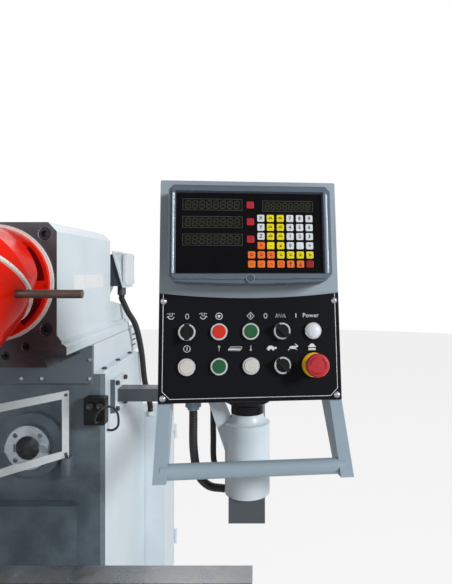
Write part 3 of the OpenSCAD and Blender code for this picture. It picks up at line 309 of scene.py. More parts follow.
# %% Effect: sprayed paint
paint_skin, enter, leave = new_group(
    "sprayed_paint", [("Patch scale", 5.0), ("Skin scale", 260.0)], ["Patches", "Skin", "Dust"])
where = object_place(paint_skin)
patches = add(paint_skin, "ShaderNodeTexNoise", in_3=4.0, in_4=0.55)
join(paint_skin, where, patches.inputs["Vector"])
join(paint_skin, enter.outputs["Patch scale"], patches.inputs["Scale"])
skin = add(paint_skin, "ShaderNodeTexNoise", in_3=1.5, in_4=0.4)
join(paint_skin, where, skin.inputs["Vector"])
join(paint_skin, enter.outputs["Skin scale"], skin.inputs["Scale"])
specks = add(paint_skin, "ShaderNodeTexVoronoi", in_2=130.0)
join(paint_skin, where, specks.inputs["Vector"])
facing_up = add(paint_skin, "ShaderNodeSeparateXYZ")
join(paint_skin, true_normal(paint_skin), facing_up.inputs[0])
lying = ramp(paint_skin, facing_up.outputs["Z"], 0.5, 0.98)
speck = ramp(paint_skin, specks.outputs["Distance"], 0.12, 0.03)
join(paint_skin, ramp(paint_skin, patches.outputs["Fac"], 0.3, 0.7), leave.inputs["Patches"])
join(paint_skin, skin.outputs["Fac"], leave.inputs["Skin"])
join(paint_skin, calc(paint_skin, "MULTIPLY", lying, speck), leave.inputs["Dust"])
print("group:", paint_skin.name)

# %% [markdown]
# Worn edges: hands, chips and spanners polish a casting's corners first. The Bevel node
# gives the normal that a rounded edge would have, and where that differs from the true normal
# there is an edge. A patchy noise breaks the line up, so that the wear doesn't look drawn. The
# plain edge mask also serves for a painted highlight along the edges.

# %% Effect: worn edges, and edges for a painted highlight
edge_wear_and_highlight, enter, leave = new_group(
    "worn_and_highlit_edges", [("Width", 0.0015), ("Breakup", 60.0)], ["Edge", "Scuff"])
rounded = add(edge_wear_and_highlight, "ShaderNodeBevel", samples=6)
join(edge_wear_and_highlight, enter.outputs["Width"], rounded.inputs["Radius"])
apart = add(edge_wear_and_highlight, "ShaderNodeVectorMath", operation="DOT_PRODUCT")
join(edge_wear_and_highlight, rounded.outputs["Normal"], apart.inputs[0])
join(edge_wear_and_highlight, true_normal(edge_wear_and_highlight), apart.inputs[1])
edge = ramp(edge_wear_and_highlight, apart.outputs["Value"], 0.995, 0.86)
breakup = add(edge_wear_and_highlight, "ShaderNodeTexNoise", in_3=3.0, in_4=0.6)
join(edge_wear_and_highlight, object_place(edge_wear_and_highlight), breakup.inputs["Vector"])
join(edge_wear_and_highlight, enter.outputs["Breakup"], breakup.inputs["Scale"])
broken = ramp(edge_wear_and_highlight, breakup.outputs["Fac"], 0.38, 0.62)
join(edge_wear_and_highlight, edge, leave.inputs["Edge"])
join(edge_wear_and_highlight, calc(edge_wear_and_highlight, "MULTIPLY", edge, broken), leave.inputs["Scuff"])
print("group:", edge_wear_and_highlight.name)

# %% [markdown]
# Ground and turned steel: the stone or the tool leaves fine lines in one direction. Noise
# that is stretched far along one axis gives them. The stretch is an input for each axis, so
# one group serves flat ground faces, turned shafts and brushed covers.

# %% Effect: fine lines of a tool
tool_lines, enter, leave = new_group(
    "tool_lines", [("Along X", 1.0), ("Along Y", 1.0), ("Along Z", 1.0), ("Scale", 400.0)],
    ["Lines", "Smear"])
along = add(tool_lines, "ShaderNodeCombineXYZ")
for axis in "XYZ":
    join(tool_lines, enter.outputs["Along " + axis], along.inputs[axis])
where = object_place(tool_lines)
stretch = add(tool_lines, "ShaderNodeVectorMath", operation="MULTIPLY")
join(tool_lines, where, stretch.inputs[0])
join(tool_lines, along.outputs[0], stretch.inputs[1])
lines = add(tool_lines, "ShaderNodeTexNoise", in_3=2.0, in_4=0.5)
join(tool_lines, stretch.outputs["Vector"], lines.inputs["Vector"])
join(tool_lines, enter.outputs["Scale"], lines.inputs["Scale"])
smear = add(tool_lines, "ShaderNodeTexNoise", in_2=14.0, in_3=4.0, in_4=0.6)
join(tool_lines, where, smear.inputs["Vector"])
join(tool_lines, lines.outputs["Fac"], leave.inputs["Lines"])
join(tool_lines, ramp(tool_lines, smear.outputs["Fac"], 0.3, 0.72), leave.inputs["Smear"])
print("group:", tool_lines.name)

# %% [markdown]
# One function turns these effects into a painted finish. The paint's colour is the colour on
# the card, lighter and darker by a few hundredths over the surface. Every edge is painted
# lighter as a highlight, and where an edge is scuffed the primer shows. A material can also have
# a second colour on part of the solid, such as the bare face of a painted casting or a painted
# shade, from a mask on the solid's own coordinates.

# %% Parts of every finish
def start(name):
    material = bpy.data.materials.new(name)
    material.use_nodes = True
    tree = material.node_tree
    tree.nodes.clear()
    shader = tree.nodes.new("ShaderNodeBsdfPrincipled")
    out = tree.nodes.new("ShaderNodeOutputMaterial")
    join(tree, shader.outputs[0], out.inputs["Surface"])
    return material, tree, shader


def effect(tree, group, **values):
    node = tree.nodes.new("ShaderNodeGroup")
    node.node_tree = group
    for label, value in values.items():
        node.inputs[label.replace("_", " ")].default_value = value
    return node


def blend_colours(tree, share, low, high):
    """Mixes two colours, each a colour or a socket, by a share."""
    mix = add(tree, "ShaderNodeMix", data_type="RGBA")
    join(tree, share, mix.inputs["Factor"])
    feed(tree, low, mix.inputs[6])
    feed(tree, high, mix.inputs[7])
    return mix.outputs[2]


def two_tones(tree, share, colour, spread):
    """A colour that runs from a little darker to a little lighter."""
    return blend_colours(tree, share, shade(colour, 1 - spread), shade(colour, 1 + spread))


def relief(tree, height, depth):
    bump = add(tree, "ShaderNodeBump")
    bump.inputs["Strength"].default_value = 1.0
    bump.inputs["Distance"].default_value = depth
    join(tree, height, bump.inputs["Height"])
    return bump.outputs["Normal"]


print("parts of a finish are ready")

# %% Painted finishes
dust_colour = "#c9c4ba"


def paint(name, code, rough=0.38, spread=0.05, skin=0.00006, wear=0.5, primer="#8b8f92",
          shine=0.5, dust=0.18, second=None):
    """Sprayed paint. second is (colour, mask function, roughness, metallic) for a bare part."""
    material, tree, shader = start(name)
    sprayed = effect(tree, paint_skin)
    worn = effect(tree, edge_wear_and_highlight)
    base = linear(code)
    colour = two_tones(tree, sprayed.outputs["Patches"], base, spread)
    # Every edge of the paint is made lighter: a painted highlight.
    painted_edge_highlight = calc(tree, "MULTIPLY", worn.outputs["Edge"], 0.35)
    colour = blend_colours(tree, painted_edge_highlight, colour, shade(base, 1.35))
    scuff = calc(tree, "MULTIPLY", worn.outputs["Scuff"], wear)
    colour = blend_colours(tree, scuff, colour, linear(primer))
    dusty = calc(tree, "MULTIPLY", sprayed.outputs["Dust"], dust)
    colour = blend_colours(tree, dusty, colour, linear(dust_colour))
    gloss = ramp(tree, sprayed.outputs["Patches"], 0.0, 1.0, rough - 0.06, rough + 0.08)
    if second:
        bare_code, mask, bare_rough, bare_metal = second
        share = mask(tree)
        bare = linear(bare_code)
        lines = effect(tree, tool_lines, Along_X=0.04)
        iron = blend_colours(tree, lines.outputs["Smear"], shade(bare, 0.78), shade(bare, 1.2))
        colour = blend_colours(tree, share, colour, iron)
        bare_gloss = ramp(tree, lines.outputs["Lines"], 0.2, 0.8,
                          bare_rough - 0.08, bare_rough + 0.1)
        paint_gloss = calc(tree, "MULTIPLY", gloss, calc(tree, "SUBTRACT", 1.0, share))
        gloss = calc(tree, "ADD", paint_gloss, calc(tree, "MULTIPLY", bare_gloss, share))
        if bare_metal:
            join(tree, calc(tree, "MULTIPLY", share, bare_metal), shader.inputs["Metallic"])
    join(tree, colour, shader.inputs["Base Color"])
    join(tree, gloss, shader.inputs["Roughness"])
    join(tree, relief(tree, sprayed.outputs["Skin"], skin), shader.inputs["Normal"])
    shader.inputs["Specular IOR Level"].default_value = shine
    return material


print("paint is ready, its dust", dust_colour)

# %% [markdown]
# Bare metal shows the lines of the tool that cut it, and it is brighter at its handled edges.
# Smears of old oil change its gloss in broad patches, so that a highlight breaks up over a
# ground face as it does on a used machine. A stain of oil or rust can colour the metal as well.

# %% Metal finishes
line_depth = 0.02 * MM


def metal(name, code, rough=0.3, stretch=(1, 1, 1), metallic=1.0, edge=0.4, stain=None,
          second=None):
    """Bare metal with the fine lines of its tool. stain is a colour for patches of oil or rust.
    second is (colour, mask function) for a part in another metal."""
    material, tree, shader = start(name)
    lines = effect(tree, tool_lines, Along_X=stretch[0], Along_Y=stretch[1], Along_Z=stretch[2])
    worn = effect(tree, edge_wear_and_highlight, Width=0.0008)
    base = linear(code)
    colour = two_tones(tree, lines.outputs["Lines"], base, 0.12)
    if stain:
        patchy = calc(tree, "MULTIPLY", lines.outputs["Smear"], 0.5)
        colour = blend_colours(tree, patchy, colour, linear(stain))
    bright = calc(tree, "MULTIPLY", worn.outputs["Edge"], edge)
    colour = blend_colours(tree, bright, colour, shade(base, 1.5))
    if second:
        other_code, mask = second
        colour = blend_colours(tree, mask(tree), colour, linear(other_code))
    smoothest, roughest = max(0.04, rough - 0.08), rough + 0.1
    gloss = ramp(tree, lines.outputs["Smear"], 0.0, 1.0, smoothest, roughest)
    join(tree, colour, shader.inputs["Base Color"])
    join(tree, gloss, shader.inputs["Roughness"])
    join(tree, relief(tree, lines.outputs["Lines"], line_depth), shader.inputs["Normal"])
    shader.inputs["Metallic"].default_value = metallic
    return material


print("metal is ready, its lines", round(line_depth / MM, 3), "mm deep")

# %% [markdown]
# Moulded plastic has the fine stipple of its mould. The group for sprayed paint makes that too,
# with smaller patches and a much finer skin, so it needs no group of its own.

# %% Plastic finishes
stipple_depth = 0.02 * MM


def plastic(name, code, rough=0.35, spread=0.04, edge=0.25, coat=0.0, shine=0.3):
    """Moulded plastic: a fine stipple, paler at its edges from wear, and paler still as a painted
    highlight where edge is set high.
    """
    material, tree, shader = start(name)
    moulded = effect(tree, paint_skin, Patch_scale=40.0, Skin_scale=900.0)
    worn = effect(tree, edge_wear_and_highlight, Width=0.0006, Breakup=300.0)
    base = linear(code)
    colour = two_tones(tree, moulded.outputs["Patches"], base, spread)
    pale = calc(tree, "MULTIPLY", worn.outputs["Edge"], edge)
    colour = blend_colours(tree, pale, colour, shade(base, 1.6))
    gloss = ramp(tree, moulded.outputs["Patches"], 0.0, 1.0, rough - 0.04, rough + 0.06)
    join(tree, colour, shader.inputs["Base Color"])
    join(tree, gloss, shader.inputs["Roughness"])
    join(tree, relief(tree, moulded.outputs["Skin"], stipple_depth), shader.inputs["Normal"])
    shader.inputs["Specular IOR Level"].default_value = shine
    shader.inputs["Coat Weight"].default_value = coat
    return material


print("plastic is ready, its stipple", round(stipple_depth / MM, 3), "mm deep")

# %% [markdown]
# A casting is rarely one finish all over. The ram's face and dovetail are bare, oiled iron, the
# column's front is darker, in slate, than its cheeks, and the knee and the saddle carry ground
# ways on top. The floors of the windows round the clamp nuts are painted dark as shade, because
# the real windows are deeper than the solid's, and the screws of the front plate and of the guard
# have a metal of their own. A zone picks out such a part of a solid by a plane or a band in its
# own coordinates, so that the border stays on the same edge when the machine moves.

# %% Zones of a solid
X, Y, Z = 0, 1, 2
half_border = 0.4 * MM


def object_axis(tree, axis):
    split = add(tree, "ShaderNodeSeparateXYZ")
    join(tree, object_place(tree), split.inputs[0])
    return split.outputs[axis]


def below(axis, limit):
    def mask(tree):
        return ramp(tree, object_axis(tree, axis), limit + half_border, limit - half_border)
    return mask


def above(axis, limit):
    def mask(tree):
        return ramp(tree, object_axis(tree, axis), limit - half_border, limit + half_border)
    return mask


def within(axis, half):
    """Between minus half and plus half on an axis."""
    def mask(tree):
        away = calc(tree, "ABSOLUTE", object_axis(tree, axis))
        return ramp(tree, away, half + half_border, half - half_border)
    return mask


def joined(operation, masks):
    def mask(tree):
        share = masks[0](tree)
        for other in masks[1:]:
            share = calc(tree, operation, share, other(tree))
        return share
    return mask


def both(*masks):
    return joined("MULTIPLY", masks)


def either(*masks):
    return joined("MAXIMUM", masks)


ram_face = both(below(Y, -0.3702), above(Z, 1.580))
ram_slide_face = both(below(Y, -0.3677), below(Z, 1.586))
ram_underside = below(Z, 1.5478)
bare_ram = either(ram_face, ram_slide_face, ram_underside)
bare_groove = both(within(X, 0.1345), above(Z, 1.5145), above(Y, -0.1495))
# The fronts of the column and of the arm's bracket are darker than their sides.
column_front = below(Y, -0.1387)
knee_top_ways = above(Z, 0.8302)
saddle_top_ways = above(Z, 0.9858)
bracket_edge = below(Y, -0.0876)
front_plate_screws = below(Y, -0.1400)
print("zones of one plane or two are ready")

# %% [markdown]
# Three zones aren't square to the machine. The terminal box stands on a sloping seat and the
# guard is turned about its hinge, so a sloping plane cuts these two: a sum of the coordinates,
# each with its weight, that reaches a limit. Behind the seat the box is painted dark as shade. The
# nut windows are arcs, measured by distance and angle from the axis of the head's level swivel,
# and their floors are painted dark as shade.

# %% Sloping and curved zones
seat_slope, seat_limit = 0.3, 0.6947
guard_facing_x, guard_facing_y, guard_face = 0.7738, 0.6334, 0.1919
plane_border = 0.3 * MM

swivel_height = 1.734
flange_face = both(below(Y, -0.3925), above(Y, -0.3935))
window_inner, window_outer, window_border = 0.0960, 0.1340, 0.5 * MM
# In radians, seen from the axis: the middle of the low and of the high window, and half a span.
low_window, high_window, half_window, end_border = 0.5585, 0.4189, 0.370, 0.005


def under_seat(tree):
    """Behind the sloping seat of the terminal box, where the paint is darkened as a painted shade.
    """
    lean = calc(tree, "MULTIPLY", object_axis(tree, Z), seat_slope)
    out = calc(tree, "ADD", object_axis(tree, X), lean)
    return ramp(tree, out, seat_limit + plane_border, seat_limit - plane_border)


def guard_screws(tree):
    """What stands out from the near face of the guard's frame."""
    out = calc(tree, "SUBTRACT", calc(tree, "MULTIPLY", object_axis(tree, X), guard_facing_x),
               calc(tree, "MULTIPLY", object_axis(tree, Y), guard_facing_y))
    return ramp(tree, out, guard_face - plane_border, guard_face + plane_border)


def nut_windows(tree):
    """The floor of the curved windows that the clamp nuts stand in, which gets a painted shade."""
    up = calc(tree, "SUBTRACT", object_axis(tree, Z), swivel_height)
    across = object_axis(tree, X)
    squares = [calc(tree, "MULTIPLY", side, side) for side in (up, across)]
    reach = calc(tree, "SQRT", calc(tree, "ADD", *squares))
    inside = ramp(tree, reach, window_outer + window_border, window_outer - window_border)
    outside = ramp(tree, reach, window_inner - window_border, window_inner + window_border)
    ring = calc(tree, "MULTIPLY", inside, outside)
    angle = calc(tree, "ARCTAN2", up, calc(tree, "ABSOLUTE", across))
    spans = []
    for operation, middle in (("ADD", low_window), ("SUBTRACT", high_window)):
        away = calc(tree, "ABSOLUTE", calc(tree, operation, angle, middle))
        spans.append(ramp(tree, away, half_window + end_border, half_window - end_border))
    arcs = calc(tree, "MULTIPLY", ring, calc(tree, "MAXIMUM", *spans))
    return calc(tree, "MULTIPLY", arcs, flange_face(tree))


print("sloping and curved zones are ready")

# %% [markdown]
# Every finish is a line in a table: its colour as on a paint card, and only what differs from
# the usual paint, metal or plastic. Paint comes first: blue-grey in several tones on the
# castings and covers, glossy red on the head, black on the panel. A finish for one solid, such
# as the knee's, has that solid's zone with it.

# %% Table of paints
slate, ways = "#58656e", "#9a9da1"
paints = {
    "machine_blue_grey": dict(code="#9fb0bd"),
    "knee_paint": dict(code="#9fb0bd", second=(ways, knee_top_ways, 0.3, 0.9)),
    "saddle_paint": dict(code="#9fb0bd", second=(ways, saddle_top_ways, 0.3, 0.9)),
    "column_paint": dict(code="#cbd7df", second=(slate, column_front, 0.42, 0.0)),
    "guide_paint": dict(code="#cfdae2", second=("#6f6552", bare_groove, 0.4, 0.3)),
    "slate_plate": dict(code="#5a6770", rough=0.42),
    "machine_light": dict(code="#cfdae1"),
    "collar_paint": dict(code="#bcc8cf"),
    "arm_paint": dict(code="#41474e"),
    "bracket_paint": dict(code="#cfdae1", second=("#4f5963", bracket_edge, 0.42, 0.0)),
    "ram_casting": dict(code="#cdd9e1", second=("#47474c", bare_ram, 0.38, 0.6)),
    # The terminal box's second colour is a painted shade on the pedestal behind its seat.
    "terminal_paint": dict(code="#cfd8dd", rough=0.3, second=("#39424c", under_seat, 0.4, 0.0)),
    # The red's second colour, a dark maroon, is a painted shade on the floors of the nut windows.
    "red_paint": dict(code="#e5200f", rough=0.13, spread=0.06, skin=0.00002, wear=0.2,
                      shine=0.07, dust=0.0, primer="#9a2a22",
                      second=("#66060e", nut_windows, 0.5, 0.0)),
    "pendant_paint": dict(code="#8a96a1", rough=0.34),
    "dro_paint": dict(code="#4f5b68", rough=0.32, skin=0.00003, shine=0.35, dust=0.06),
    "dro_line": dict(code="#6d7a87", rough=0.3, skin=0.00001),
    "dro_cap": dict(code="#3d4751", rough=0.36, skin=0.00001, shine=0.35),
    "leg_paint": dict(code="#8899a5"),
    "black_swivel": dict(code="#0c0c0e", rough=0.4, primer="#3a3a3c", shine=0.15, dust=0.05),
    "black_plate": dict(code="#0e0f13", rough=0.5, spread=0.12, wear=0.25, primer="#6c6e70",
                        shine=0.06),
    "frame_fasteners": dict(code="#2c2d31", rough=0.36, dust=0.05,
                            second=("#c2c5c9", front_plate_screws, 0.25, 0.7)),
}
print("paints:", len(paints))

# %% [markdown]
# The metals differ in how bright they are and in which way their lines run. A shaft is drawn
# and a table is ground along its length, so the noise is stretched on that axis. The scale
# rings carry a cream coat that hides the metal, and the thin plates a clear one that dulls it.

# %% Table of metals
metals = {
    "dark_fasteners": dict(code="#2c2d31", rough=0.36, metallic=0.7),
    "ground_steel": dict(code="#b4b7bb", rough=0.24, stretch=(0.05, 1, 1)),
    "scale_ring": dict(code="#e8e8e2", rough=0.34, metallic=0.0),
    "oiled_bar": dict(code="#5d4c46", rough=0.34, stretch=(0.06, 1, 1), stain="#3f2c24",
                      metallic=0.75),
    "table_iron": dict(code=ways, rough=0.34, stretch=(0.03, 1, 1), stain="#7d7a74"),
    "handwheel_chrome": dict(code="#c6c9ce", rough=0.12),
    "aluminium_frame": dict(code="#c3c9cc", rough=0.4, stretch=(0.1, 0.1, 1), metallic=0.4,
                            second=("#3c3d40", guard_screws)),
    "bezel_metal": dict(code="#c2c4c6", rough=0.24, edge=0.6, metallic=0.7),
    "bright_screws": dict(code="#9c9ea2", rough=0.2),
    "plate_sheet": dict(code="#e3e5e8", rough=0.42, stretch=(1, 0.05, 1), metallic=0.25,
                        edge=0.2),
    # The pale bevel strips of the readout are a painted highlight.
    "polished_bevel": dict(code="#a9b4bf", rough=0.3, metallic=0.3, edge=0.2),
    "plug_ring": dict(code="#3c3d40", rough=0.35, metallic=0.6),
}
print("metals:", len(metals))

# %% [markdown]
# The plastics are what an operator touches: knobs, buttons, the lamp, the film over the readout.
# Ink is made as a plastic too, because a printed line is a thin film with no grain of its own.

# %% Table of plastics
plastics = {
    "black_plastic": dict(code="#101114", rough=0.42, shine=0.2),
    "keypad_film": dict(code="#08080b", rough=0.3, spread=0.08, shine=0.05),
    "yellow_plastic": dict(code="#e3aa12", rough=0.32),
    "dark_plastic": dict(code="#3a3a3c"),
    "red_plastic": dict(code="#ac2932", rough=0.32),
    "twist_mark": dict(code="#8f1a22", rough=0.4, edge=0.0),
    "lamp_lens": dict(code="#cdd2da", rough=0.16, coat=0.6),
    # The selector grips' pale edges are a painted highlight.
    "selector_plastic": dict(code="#08080a", rough=0.3, shine=0.2, edge=0.8),
    "red_button": dict(code="#c02d20", rough=0.34, shine=0.2),
    "green_button": dict(code="#1d5231", rough=0.34, shine=0.2),
    "white_button": dict(code="#c0bfb7", rough=0.36),
    "conduit_black": dict(code="#1b1c1e", rough=0.45, spread=0.1),
    "white_ink": dict(code="#cccfd2", rough=0.5, spread=0.06, edge=0.0),
    "dark_ink": dict(code="#2b2b2e", rough=0.5, spread=0.06, edge=0.0),
    "display_board": dict(code="#141410", rough=0.3, spread=0.08, edge=0.0, shine=0.05),
    "display_segment": dict(code="#35352e", rough=0.4, spread=0.08, edge=0.0, shine=0.05),
    "display_frame": dict(code="#55585a", rough=0.35, spread=0.08, edge=0.0, shine=0.05),
}
print("plastics:", len(plastics))

# %% [markdown]
# One loop makes every material of the three tables. To try another red on the head, or more wear
# on the panel, is a change of one line in a table and a new run.

# %% Making the finishes
finish = {}
for make, table in ((paint, paints), (metal, metals), (plastic, plastics)):
    for name, settings in table.items():
        finish[name] = make(name, **settings)
print("finishes in the tables:", len(finish))

# %% [markdown]
# The guard's pane is clear polycarbonate. It is real glass for the renderer: it lets light
# through, bends it a little and reflects the studio. Faint dust keeps it from being invisible.

# %% Clear pane
pane, tree, shader = start("clear_pane")
dusty = effect(tree, paint_skin, Patch_scale=9.0).outputs["Patches"]
cloudy = blend_colours(tree, dusty, linear("#dfe6ea"), linear("#eef3f6"))
join(tree, cloudy, shader.inputs["Base Color"])
join(tree, ramp(tree, dusty, 0.0, 1.0, 0.03, 0.14), shader.inputs["Roughness"])
shader.inputs["Transmission Weight"].default_value = 1.0
shader.inputs["IOR"].default_value = 1.2
finish["clear_pane"] = pane
print("clear pane")

# %% [markdown]
# One more table says which solids wear each finish. A solid keeps its mesh, and only the
# material in its slots is exchanged. Solids that are painted together on a real machine share
# one finish, so a change of the paint reaches all of them.

# %% Which solids wear a finish
wearers = {
    "machine_blue_grey": "base table_end_brackets",
    "knee_paint": "knee",
    "saddle_paint": "saddle",
    "column_paint": "column",
    "guide_paint": "ram_guide",
    "slate_plate": "guide_front_plate",
    "machine_light": "rear_cover electrical_cabinet cabinet_door ram_motor",
    "dark_fasteners": "ram_screws swivel_nuts",
    "frame_fasteners": "frame_bolts",
    "collar_paint": "pendant_collar",
    "arm_paint": "pendant_arm",
    "bracket_paint": "arm_bracket",
    "black_plastic": "switch_box",
    "ground_steel": "horizontal_spindle vertical_spindle table_screw saddle_screw lift_screw",
    "ram_casting": "ram",
    "scale_ring": "ram_scale_ring second_scale_ring",
    "terminal_paint": "terminal_box",
    "red_paint": "first_swivel head_body",
    "oiled_bar": "turning_bar",
    "table_iron": "table",
    "handwheel_chrome": "table_handwheel saddle_handwheel knee_crank",
    "aluminium_frame": "guard_frame",
    "clear_pane": "guard_pane",
    "pendant_paint": "pendant_box",
    "black_plate": "control_plate",
    "dro_paint": "dro_housing",
    "keypad_film": "dro_keypad",
    "bezel_metal": "bezels",
    "black_swivel": "pendant_flange",
    "leg_paint": "pendant_legs",
    "bright_screws": "plate_screws",
    "yellow_plastic": "estop_collar",
    "dark_plastic": "estop_stem",
    "red_plastic": "estop_head",
    "lamp_lens": "pilot_lamp",
    "selector_plastic": "direction_selector coolant_selector feed_selector",
    "red_button": "stop_button",
    "green_button": "start_button up_button",
    "white_button": "enable_button down_button",
}
print("solids in the table:", sum(len(names.split()) for names in wearers.values()))


# %% Dressing the solids
def dress(piece, look):
    """Gives a piece one finish all over."""
    if piece.data.materials:
        for slot in piece.material_slots:
            slot.material = finish[look]
    else:
        piece.data.materials.append(finish[look])


for look, names in wearers.items():
    for name in names.split():
        dress(nodes[name], look)
for piece, points, diameter in cords.values():
    dress(piece, "conduit_black")
print("finishes on solids and cords:", len(wearers))

# %% [markdown]
# The printing on the panel and the graduations on the rings are thin raised pieces, drawn flat
# in millimetres and then laid on their surface. Lines are curves with a round profile that is
# pressed flat, and closed shapes are faces pulled up by a fraction of a millimetre. Drawing
# them as a texture would need an image, and shader shapes would be hard to read in code.

# %% Drawing flat shapes
ink_thick = 0.12


def line(bm, points, width=1.0, closed=False, thick=ink_thick):
    """A line of ink through points in the drawing's plane."""
    mesh = round_wire("line", [(x, y, 0) for x, y in points], width, 1, closed=closed)
    mesh.transform(Matrix.Diagonal((1, 1, thick / width, 1)))
    bm.from_mesh(mesh)
    bpy.data.meshes.remove(mesh)


def patch(bm, points, thick=ink_thick):
    """A filled shape of ink."""
    face = bm.faces.new([bm.verts.new((x, y, 0)) for x, y in points])
    raised = bmesh.ops.extrude_face_region(bm, geom=[face])
    tops = [v for v in raised["geom"] if isinstance(v, bmesh.types.BMVert)]
    bmesh.ops.translate(bm, vec=(0, 0, thick / 2), verts=tops)


def arc(cx, cy, r, start_at, end_at, steps=16, squash=1.0):
    """Points on an arc, with angles in degrees."""
    angles = [math.radians(start_at + (end_at - start_at) * i / steps) for i in range(steps + 1)]
    return [(cx + r * math.cos(a), cy + squash * r * math.sin(a)) for a in angles]


def ring(cx, cy, r, steps, squash=1.0):
    """The corners of a closed round or oval shape."""
    return arc(cx, cy, r, 0, 360, steps, squash)[:-1]


print("ink is", ink_thick, "mm thick")

# %% [markdown]
# Letters and digits are text objects made into meshes, each put in its place by a matrix. A
# finished drawing becomes one piece: it is brought from millimetres to metres and laid on its
# surface, and it rides on the body that carries the surface.

# %% Words, and laying a drawing
def words(bm, text, stand, size, bold=0.0):
    """Letters or digits, centred where stand puts them."""
    data = bpy.data.curves.new("words", "FONT")
    data.body = text
    data.size = size
    data.align_x = "CENTER"
    data.align_y = "CENTER"
    data.resolution_u = 2
    data.extrude = ink_thick / 2
    data.offset = bold
    mesh = as_mesh(data, "words")
    mesh.transform(stand)
    bm.from_mesh(mesh)
    bpy.data.meshes.remove(mesh)


def flat(x, y):
    """A place in the drawing's plane."""
    return Matrix.Translation((x, y, 0))


def laid(bm, name, body, look, matrix, smooth=False):
    """Makes a piece of a drawing in millimetres and lays it on its surface."""
    bmesh.ops.recalc_face_normals(bm, faces=bm.faces)
    mesh = bpy.data.meshes.new(name)
    bm.to_mesh(mesh)
    bm.free()
    if smooth:
        for face in mesh.polygons:
            face.use_smooth = True
    mesh.transform(matrix @ Matrix.Scale(MM, 4))
    piece = new_object(name, mesh)
    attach(piece, body)
    dress(piece, look)


print("words and drawings can be laid")

# %% [markdown]
# The control panel leans back and turns a little towards the operator, so everything on it is
# drawn in a plane of its own. Its origin is the middle of the pendant box, where the readout
# ends and the black plate begins. Each layer lies a little in front of the one that it is
# printed or set on, because two faces in one plane would flicker through each other.

# %% The panel's plane
# How far each layer lies in front of the pendant's box, in millimetres.
plate_ink_out, stop_mark_out = 3.03, 43.02
board_out, digit_out, display_frame_out = 38.35, 38.5, 39.05
key_out, key_sign_out = 38.95, 40.1
bevel_out, chin_out, chin_cap_out = 44.8, 45.0, 45.02
pendant_frame = at(665, -833, 1736) @ turn(5.8, "Z") @ turn(-8, "X") @ turn(90, "X")


def on_panel(out):
    """The pendant's plane, out millimetres in front of its box."""
    return pendant_frame @ at(0, 0, out)


print("panel at", tuple(round(c, 4) for c in pendant_frame.translation))

# %% [markdown]
# The black plate carries a white border line with cut corners, and a symbol over every
# control: turning senses, stop, start, coolant, the two feeds, the emergency stop. They are
# common machine symbols, drawn simply, in two rows.

# %% Border and upper row of symbols
ink = bmesh.new()
upper, lower = -46, -98.6
side, foot, corner = 143, -178, 12
line(ink, [(-side, -26), (-side, foot + corner), (-side + corner, foot),
           (side - corner, foot), (side, foot + corner), (side, -26)], 1.1)
for x in (-side, side):
    line(ink, [(x, -9), (x, -16)], 1.1)


def turning_sign(x, y, way):
    """A spindle in section over an arrow that shows which way it turns."""
    line(ink, [(x - 1.9, y + 6), (x - 1.9, y + 0.6), (x + 1.9, y + 0.6), (x + 1.9, y + 6)], 1.1)
    hook = arc(x, y + 0.6, 4.9, 195, 345, 10)
    line(ink, hook, 1.2)
    tip_x, tip_y = hook[0] if way < 0 else hook[-1]
    line(ink, [(tip_x - 2.0, tip_y - 0.9), (tip_x, tip_y + 1.2), (tip_x + 2.0, tip_y - 0.9)], 1.0)
    line(ink, [(x - 6.0, y + 4.4), (x - 3.9, y + 4.4)], 1.2)
    line(ink, [(x + 6.0, y + 4.4), (x + 3.9, y + 4.4)], 1.2)


def diamond(x, y, half):
    return [(x, y + half), (x + half, y), (x, y - half), (x - half, y)]


turning_sign(-130, upper, -1)
turning_sign(-78, upper, 1)
line(ink, ring(-104, upper, 2.6, 20, 1.6), 1.0, closed=True)
line(ink, ring(25, upper, 2.5, 20, 1.6), 1.0, closed=True)
line(ink, ring(-52, upper, 5.2, 24), 1.2, closed=True)
patch(ink, diamond(-52, upper, 2.8))
line(ink, diamond(0, upper, 5.8), 1.2, closed=True)
line(ink, [(0, upper + 2.6), (0, upper - 2.6)], 1.7)
line(ink, [(42 + 2.0 * i, upper + (3.3 if i % 2 else -3.3)) for i in range(9)], 1.2)
line(ink, [(76, upper + 3.4), (76, upper - 3.4)], 1.5)
words(ink, "Power", flat(101, upper), 10.4)
print("border and upper row")

# %% Lower row of symbols
line(ink, ring(-104, lower, 5.2, 24), 1.0, closed=True)
line(ink, [(-104, lower + 2.6), (-104, lower - 2.6)], 1.4)
for x, way in ((-52, 1), (0, -1)):
    line(ink, [(x, lower - 4.4), (x, lower + 4.4)], 0.9)
    head, tip = lower + way * 2.2, lower + way * 4.6
    line(ink, [(x - 1.8, head), (x, tip), (x + 1.8, head)], 0.8)
for y in (lower, lower - 2.2):
    table_top = [(-37, y - 1.8), (-33, y + 2.6), (-14.6, y + 2.6), (-17.6, y - 1.8)]
    line(ink, table_top, 0.8, closed=True)
patch(ink, [(-37, lower - 2.6), (-17.6, lower - 2.6), (-17.6, lower - 0.8), (-37, lower - 0.8)])
# Slow: a domed body low on short legs.
shell = arc(33, lower - 1.8, 6.2, 170, 10, 12, 0.85)
patch(ink, [(26, lower - 2.4)] + shell + [(40, lower - 2.4)])
patch(ink, ring(41, lower - 0.4, 1.9, 10))
for left, right in ((28, 31), (35.5, 38.5)):
    leg, belly = lower - 4.4, lower - 2
    patch(ink, [(left, leg), (right, leg), (right, belly), (left, belly)])
# Fast: a long body with raised ears.
patch(ink, ring(70, lower, 6.0, 18, 0.42))
patch(ink, ring(76.6, lower + 2, 2.2, 12, 0.85))
line(ink, [(76, lower + 3.6), (73.4, lower + 6)], 1.3)
line(ink, [(65, lower - 1.4), (62, lower - 4.4)], 1.5)
line(ink, [(73, lower - 1.8), (77, lower - 4)], 1.3)
